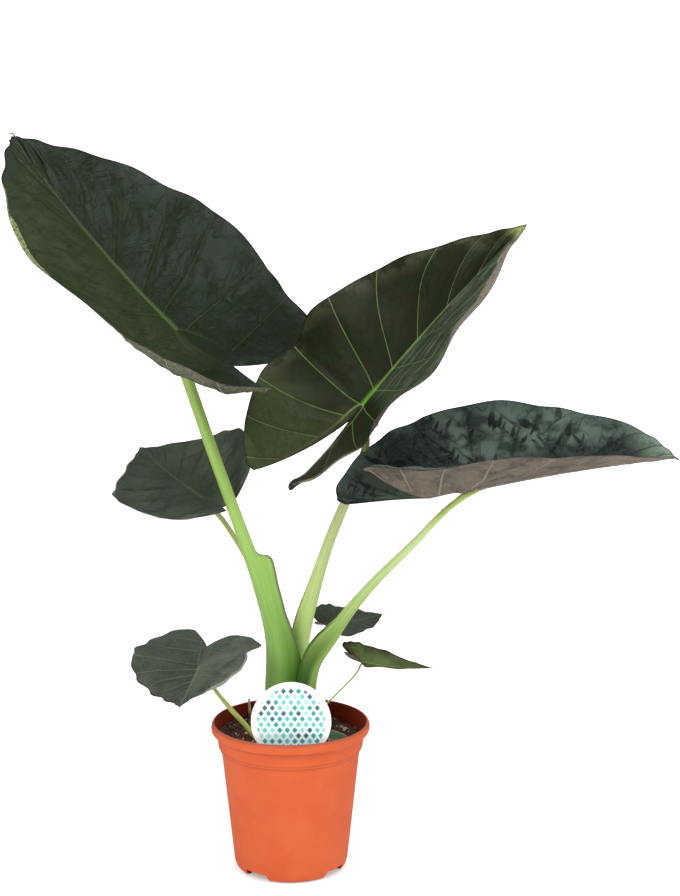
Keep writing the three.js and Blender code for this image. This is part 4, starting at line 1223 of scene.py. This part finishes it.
def make_soil():
    """Rings of the surface drawn out to the pot's wall, then rings down the wall to the floor."""
    line = np.array(sorted((z, r) for r, z in POT_INSIDE))
    rings, sides = SOIL["rings"], SOIL["sides"]
    share = np.linspace(0, 1, rings + 1)[1:]
    turn = 2 * math.pi * np.arange(sides) / sides
    x = np.outer(share, np.cos(turn)) * SOIL["reach"]
    y = np.outer(share, np.sin(turn)) * SOIL["reach"]
    z = soil_surface(x, y)
    wall = np.interp(z[-1], line[:, 0], line[:, 1]) - SOIL["gap"]
    scale = 1 + (wall / SOIL["reach"] - 1) * share[:, None] ** 4
    top = np.stack([x * scale, y * scale, z], -1)
    sunk = []
    for height in SOIL["levels"]:
        radius = np.interp(height, line[:, 0], line[:, 1]) - SOIL["gap"]
        level = np.full(sides, float(height))
        sunk.append(np.stack([radius * np.cos(turn), radius * np.sin(turn), level], -1))
    points = np.concatenate([top.reshape(-1, 3), *sunk])
    ends = [(0, 0, soil_surface(np.zeros(1), np.zeros(1))[0]), (0, 0, SOIL["levels"][-1])]
    triangles = ring_triangles(rings + len(sunk), sides, inwards=True)
    soil = make_piece("potting_soil", np.concatenate([points, ends]), triangles, (peat,))
    settle(soil, "soil", "soil")


def make_crumbs():
    """Loose crumbs, bark bits and fibres: small twenty-sided stones, stretched and turned."""
    golden = (1 + 5**0.5) / 2
    corners = np.array([(0, a, b * golden) for a in (1, -1) for b in (1, -1)], float)
    corners = np.concatenate([corners, corners[:, [2, 0, 1]], corners[:, [1, 2, 0]]])
    near = np.abs(np.linalg.norm(corners[:, None] - corners, axis=2) - 2) < 0.01
    threes = ((i, j, k) for i in range(12) for j in range(i) for k in range(j))
    faces = [(i, j, k) for i, j, k in threes if near[i, j] and near[j, k] and near[i, k]]
    faces = np.array([f if np.linalg.det(corners[list(f)]) > 0 else f[::-1] for f in faces])
    rng = np.random.default_rng(CRUMBS["seed"])
    count = CRUMBS["count"]
    radius = CRUMBS["reach"] * np.sqrt(rng.uniform(0, 1, count))
    turn = rng.uniform(0, 2 * math.pi, count)
    x, y = radius * np.cos(turn), radius * np.sin(turn)
    free = np.ones(count, bool)
    for path in STEMS.values():
        foot = min(path, key=lambda p: abs(p[2] - SOIL["top"]))
        free &= np.hypot(x - foot[0], y - foot[1]) > foot[3] + CRUMBS["stem_gap"]
    free &= from_scrap(x, y) > SCRAP_BED["clear"]
    x, y = x[free], y[free]
    count = len(x)
    kind = rng.choice(3, count, p=CRUMBS["shares"])
    size = np.exp(rng.normal(*CRUMBS["spread"], count)) * CRUMBS["size"]
    stretch = size[:, None] * rng.uniform(*CRUMBS["stretch"], (count, 3))
    fibre = rng.uniform(0, 1, count) < CRUMBS["fibres"]
    stretch[fibre] = stretch[fibre] * CRUMBS["fibre_shape"]
    spin = rng.normal(0, 1, (count, 4))
    spin /= np.linalg.norm(spin, axis=1, keepdims=True)
    w, a, b, c = spin.T
    turns = np.stack([
        1 - 2 * (b * b + c * c), 2 * (a * b - c * w), 2 * (a * c + b * w),
        2 * (a * b + c * w), 1 - 2 * (a * a + c * c), 2 * (b * c - a * w),
        2 * (a * c - b * w), 2 * (b * c + a * w), 1 - 2 * (a * a + b * b),
    ], -1).reshape(-1, 3, 3)
    # Fibres lie nearly flat
    turns[fibre, 2, 2] *= CRUMBS["flattened"]
    bits = corners[None] * stretch[:, None] * rng.uniform(*CRUMBS["uneven"], (count, 12, 1))
    bits = np.einsum("nij,nkj->nki", turns, bits)
    bits += np.stack([x, y, soil_surface(x, y) + CRUMBS["sunk"] * size], -1)[:, None]
    triangles = (faces[None] + 12 * np.arange(count)[:, None, None]).reshape(-1, 3)
    pick = np.repeat(kind, len(faces))
    crumbs = make_piece("soil_crumbs", bits.reshape(-1, 3), triangles, (peat, bark, pale_crumb), pick)
    settle(crumbs, "soil")


# Label and dry strip


def outline_piece(outline, thick, bevel):
    """A flat plate with eased edges: rings of the outline, drawn in by the bevel at both faces."""
    outline = np.asarray(outline, float)
    ahead = unit(np.roll(outline, -1, axis=0) - np.roll(outline, 1, axis=0))
    inwards = np.stack([-ahead[:, 1], ahead[:, 0]], -1)
    half = thick / 2
    lower = ((bevel, -half), (bevel * 0.3, -half + bevel * 0.3), (0, -half + bevel))
    rings = lower + tuple((cut, -z) for cut, z in lower[::-1])
    layers = [np.column_stack([outline + inwards * cut, np.full(len(outline), z)]) for cut, z in rings]
    points = np.concatenate(layers)
    n = len(outline)
    sheet = np.array(tessellate_polygon([[Vector((*p, 0)) for p in layers[0][:, :2]]]))
    corners = outline[sheet]
    area = np.cross(corners[:, 1] - corners[:, 0], corners[:, 2] - corners[:, 0])
    sheet = np.where((area > 0)[:, None], sheet, sheet[:, ::-1])
    front = sheet + n * (len(rings) - 1)
    triangles = np.concatenate([grid_triangles(len(rings), n, closed=True)[:, ::-1], sheet[:, ::-1], front])
    pairs = points[:, :2][triangles].reshape(-1, 2) * MM
    pick = np.zeros(len(triangles))
    pick[-len(front):] = 1
    return points, triangles, pairs, pick


def card_base(add):
    """Staggered lozenges in mint, teal and slate on white, one tint a cell, none near the edge.

    A lozenge is where 1.5 times the share across from the middle, plus the share up, is under 0.5.
    """
    place = add("UVMap", uv_map="face")
    row = add("DIVIDE", add("SeparateXYZ", place, output=1), PRINT["cell"] * PRINT["row"])
    row_number = add("FLOOR", row)
    odd = add("FLOORED_MODULO", row_number, 2.0)
    shifted = add("MULTIPLY_ADD", odd, PRINT["cell"] / 2, add("SeparateXYZ", place))
    column = add("DIVIDE", shifted, PRINT["cell"])
    column_number = add("FLOOR", column)
    across = add("ABSOLUTE", add("SUBTRACT", add("SUBTRACT", column, column_number), 0.5))
    up = add("ABSOLUTE", add("SUBTRACT", add("SUBTRACT", row, row_number), 0.5))
    lozenge = add("MapRange", add("MULTIPLY_ADD", across, PRINT["steep"], up), 0.5, 0.6, 1.0, 0.0)
    draw = add("TexWhiteNoise", add("CombineXYZ", column_number, row_number))
    inside = add("VectorMath", place)
    shown = add("MULTIPLY", lozenge, add("MapRange", inside, *PRINT["lozenges"], 1.0, 0.0))
    white = add("MapRange", inside, *PRINT["white"], 1.0, 0.0)
    tint = painted(add, colour("#72c6bd"), [
        (add("MapRange", draw, 0.3, 0.31), colour("#3f9d9c")),
        (add("MapRange", draw, 0.62, 0.63), colour("#4c6472")),
        (add("MapRange", draw, 0.85, 0.86), colour("#a6dcd5")),
    ])
    return painted(add, colour("#fbfcfb"), [(white, colour("#e6f6f4")), (shown, tint)])


# Printed polypropylene card: smooth, white, slightly shiny
card = new_material("label_card", {"Roughness": 0.45, "Specular IOR Level": 0.4}, colour("#fbfcfb"))
card_print = new_material("label_print", {"Roughness": 0.4, "Specular IOR Level": 0.4}, card_base)


def make_label():
    """A disc whose rim opens at the foot into a pointed stake, leaning back a little."""
    radius, half = LABEL["radius"], LABEL["stake"] / 2
    step = math.asin(half / radius)
    turn = np.linspace(-math.pi / 2 + step, 1.5 * math.pi - step, LABEL["steps"])
    disc = np.stack([radius * np.cos(turn), radius * np.sin(turn)], -1)
    neck, low = -radius - LABEL["neck"], -LABEL["depth"]
    point = low + LABEL["taper"]
    stake = [(-half, neck), (-half, point), (0, low), (half, point), (half, neck)]
    outline = np.concatenate([disc, stake])
    points, triangles, pairs, pick = outline_piece(outline, LABEL["thick"], LABEL["bevel"])
    lean = math.radians(LABEL["lean"])
    across, up, front = points.T
    back = up * math.sin(lean) - front * math.cos(lean)
    rise = up * math.cos(lean) + front * math.sin(lean)
    placed = np.stack([across, back, rise], -1) + LABEL["centre"]
    label = make_piece("plant_label", placed, triangles, (card, card_print), pick, uvs={"face": pairs})
    settle(label, "label", "label")


def dry_base(add):
    """Pale fibres drawn out along the strip, painted brighter than the sheath's own colour as painted light,
    and darker towards its foot.
    """
    path = add("UVMap", uv_map="path")
    fibres = add("TexNoise", add("Mapping", path, (14, 60, 1)), 1.0, 4.0)
    dark_foot = add("MapRange", add("SeparateXYZ", path, output=1), 0.034, 0.046, 0.9, 0.0)
    # Pale colours painted brighter, as painted light; darker towards the foot
    return painted(add, colour("#ffe0c4"), [
        (add("MapRange", fibres, 0.35, 0.65), colour("#eebb98")),
        (dark_foot, colour("#4a2a1c")),
    ])


# Dry leaf sheath: papery and dull
dry_sheath = new_material("dry_leaf_sheath", {"Roughness": 0.8, "Specular IOR Level": 0.2}, dry_base)


def make_strip():
    """A papery ribbon, a little curled across and bent along."""
    width, height = STRIP["width"], STRIP["height"]
    lean, turn = math.radians(STRIP["lean"]), math.radians(STRIP["turn"])
    path = []
    for share in np.linspace(0, 1, 9):
        z = share * height
        narrow = width / 2 * (1 - STRIP["narrowing"] * share**3)
        sway = STRIP["sway"] * math.sin(STRIP["bends"] * share)
        x = sway * math.cos(turn) + STRIP["foot"][0] - z * math.sin(lean) * math.sin(turn)
        y = sway * math.sin(turn) + STRIP["foot"][1] + z * math.sin(lean) * math.cos(turn)
        path.append((x, y, z * math.cos(lean) + STRIP["foot"][2], narrow))
    points, triangles, pairs, _ = tube(path, 16, 4, ridges=0.03, flatten=0.35, seed=9)
    strip = make_piece("dry_sheath_strip", points, triangles, (dry_sheath,), uvs={"path": pairs})
    settle(strip, "dry_sheath", "dry_strip")


# Stems, the three thick ones widened at the foot by a sheath wing

# Stalk colours from the foot up; shade is painted shade, and flank is the span round to the sheath over
# which it deepens. Stalk C's dark foot is partly painted shade and stalk B's dark neck is painted shade
PETIOLE_LOOKS = {
    "stem_a": dict(
        foot="#729a36", middle="#7fa550", top="#98b85c", shade="#41700f", streak="#9cbc70",
        fleck="#6c8a3c", dry="#6a5c48", neck="#98b85c", flank=(0.5, 0.78),
    ),
    "stem_b": dict(
        foot="#a8c45e", middle="#bcd480", top="#aab282", shade="#7fa040", streak="#cddc98",
        fleck="#84885c", dry="#4c4a34", neck="#626c34", flank=(0.55, 0.8),
    ),
    "stem_c": dict(
        foot="#2f580c", middle="#86a548", top="#bccd8c", shade="#234a0c", streak="#bed494",
        fleck="#8a9058", dry="#2a2418", neck="#a8bc62", flank=(0.15, 0.5),
    ),
    "thin": dict(
        foot="#c4cc6c", middle="#a0aa66", top="#98a264", shade="#6f7a30", streak="#ccd684",
        fleck="#7c8450", dry="#6a5c48", neck="#98a264", flank=(0.55, 0.8),
    ),
}
PETIOLES = {
    stem: petiole_material("petiole_" + ("young" if stem == "thin" else stem[-1]), look)
    for stem, look in PETIOLE_LOOKS.items()
}


def make_stems():
    """A tube for each stalk; the three thick ones have more sides and a sheath wing."""
    for index, name in enumerate(STEMS):
        sides = STALK["winged_sides" if name in WINGS else "sides"]
        points, triangles, pairs, shares = tube(
            stem_path(name), sides, STALK["rings"], STALK["ridges"], wing=WINGS.get(name), seed=index,
        )
        stalk = PETIOLES.get(name, PETIOLES["thin"])
        piece_name = name.replace("stem", "petiole")
        piece = make_piece(piece_name, points, triangles, (stalk,), uvs={"path": pairs}, floats=shares)
        settle(piece, "stalk", name)


def make_leaves():
    """Each blade with a material of its own for either face."""
    for name, leaf in LEAVES.items():
        look = dict(LOOKS[leaf["look"]], length=leaf["midrib"] * MM)
        upper = leaf_material("leaf_" + leaf["look"] + name[-2:], look, True)
        under = leaf_material("leaf_under_" + leaf["look"] + name[-2:], look, False)
        leaf_surface(name, leaf, upper, under)


def make_tips():
    """Dry drip tips of two blades and the curled end of a narrow lobe, as small bent tubes."""
    # Dead leaf tissue: dull, nearly black
    dry = new_material("dry_leaf_tip", {"Roughness": 0.7, "Specular IOR Level": 0.2}, colour("#2b2a20"))
    for name, offsets in DRIP_TIPS.items():
        leaf = LEAVES[name]
        tip = midrib_point(leaf, leaf["midrib"] * 0.985)
        path = [(tip[0] + x, tip[1] + y, tip[2] + z, size) for x, y, z, size in offsets]
        points, triangles, _, _ = tube(path, 12, 5)
        settle(make_piece("drip_tip_" + name[-1], points, triangles, (dry,)), "leaf")
    end = leaf_half(LEAVES["blade_b"], -1, 1)["middle"][0, 0]
    path = [(*(end + offset), size) for offset, size in LOBE_CURL]
    points, triangles, _, _ = tube(path, 16, 6, ridges=0.06)
    settle(make_piece("lobe_curl_b", points, triangles, (dry,)), "leaf")


# Stage: pale floor and far white wall, soft lights, camera at the photograph's angle

SHEET_HALF_WIDTH = 15.0
FLOOR = dict(front=-12.0, level=-0.0005)
WALL = dict(foot=4.6, bend=1.8, top=13.0, steps=14)
FLOOR_GLOW = dict(near=1.5, far=6.0, low=0.3, high=0.95)
ROOM_LIGHT = 0.3
AIM = Vector((0, 0, 0.5))
COOL, NEUTRAL = (0.9, 0.96, 1.0), (1.0, 1.0, 1.0)

# Lamps: place, size, power, colour, and whether glossy skins show it
LAMPS = {
    "key": ((-1.2, -1.9, 1.9), 1.3, 38, NEUTRAL, True),
    "overhead": ((0.2, 0.4, 2.8), 1.6, 16, NEUTRAL, False),
    "fill": ((0.95, -1.35, 2.3), 1.4, 28, COOL, True),
    "side": ((2.1, -0.9, 1.1), 1.0, 13, COOL, True),
}
# Camera: place, upward turn from straight down, and focal length in pixels of the frame's height
CAMERA = dict(place=(0.067, -2.2, 0.91), turn=81.34, focal=1683, frame=896, sensor=36)


def make_sheet(name, profile, material):
    """A wide sheet along a profile of (y, z), hidden from glossy skins."""
    mesh = bpy.data.meshes.new(name)
    corners = [(x, y, z) for y, z in profile for x in (-SHEET_HALF_WIDTH, SHEET_HALF_WIDTH)]
    faces = [(2 * k, 2 * k + 1, 2 * k + 3, 2 * k + 2) for k in range(len(profile) - 1)]
    mesh.from_pydata(corners, [], faces)
    mesh.shade_smooth()
    mesh.materials.append(material)
    sheet = bpy.data.objects.new(name, mesh)
    sheet.visible_glossy = False
    bpy.context.scene.collection.objects.link(sheet)


def floor_glow(add):
    """The paper glows more where the lamps no longer reach, so the floor is white to its edge."""
    far_off = add("VectorMath", add("TexCoord"))
    return add("MapRange", far_off, *(FLOOR_GLOW[key] for key in ("near", "far", "low", "high")))


def make_stage():
    """The floor is flat; the wall leaves it in a quarter circle and then stands upright."""
    # Matt white paper, lit from within as a studio's white background is
    paper = {"Roughness": 0.95, "Specular IOR Level": 0.1, "Emission Color": (1, 1, 1, 1)}
    floor_look = {**paper, "Emission Strength": floor_glow}
    floor_paper = new_material("white_paper", floor_look, (0.92, 0.92, 0.92, 1))
    wall_paper = new_material("lit_paper", {**paper, "Emission Strength": 0.97}, (0.9, 0.9, 0.9, 1))
    make_sheet("floor", [(FLOOR["front"], FLOOR["level"]), (WALL["foot"], FLOOR["level"])], floor_paper)
    wall = []
    for turn in np.linspace(0, math.pi / 2, WALL["steps"]):
        back = WALL["foot"] + WALL["bend"] * math.sin(turn)
        wall.append((back, FLOOR["level"] + WALL["bend"] * (1 - math.cos(turn))))
    make_sheet("backdrop", wall + [(WALL["foot"] + WALL["bend"], WALL["top"])], wall_paper)


def light_room():
    """The room lights the plant dimly, and is white where it shows past the sheets."""
    world = bpy.data.worlds.new("studio")
    bpy.context.scene.world = world
    world.use_nodes = True
    tree = world.node_tree
    background = tree.nodes["Background"]
    background.inputs["Color"].default_value = (1, 1, 1, 1)
    seen = add_node(tree, "LightPath")
    strength = add_node(tree, "MULTIPLY_ADD", seen, 1 - ROOM_LIGHT, ROOM_LIGHT)
    fill(tree, background.inputs["Strength"], strength)
    for name, (place, size, power, tint, glossy) in LAMPS.items():
        light = bpy.data.lights.new(name, "AREA")
        light.shape = "SQUARE"
        light.size, light.energy, light.color = size, power, tint
        lamp = bpy.data.objects.new(name, light)
        lamp.location = place
        lamp.visible_glossy = glossy
        lamp.rotation_euler = (AIM - Vector(place)).to_track_quat("-Z", "Y").to_euler()
        bpy.context.scene.collection.objects.link(lamp)


def place_camera():
    """The camera stands where the photograph was taken from."""
    view = bpy.data.cameras.new("camera")
    view.sensor_width = CAMERA["sensor"]
    view.lens = CAMERA["focal"] * CAMERA["sensor"] / CAMERA["frame"]
    camera = bpy.data.objects.new("camera", view)
    camera.location = CAMERA["place"]
    camera.rotation_euler = (math.radians(CAMERA["turn"]), 0, 0)
    bpy.context.scene.collection.objects.link(camera)
    bpy.context.scene.camera = camera


make_tips()
make_pot()
make_soil()
make_crumbs()
make_label()
make_strip()
make_stems()
make_leaves()
make_stage()
light_room()
place_camera()
bpy.context.scene.view_settings.view_transform = "Standard"
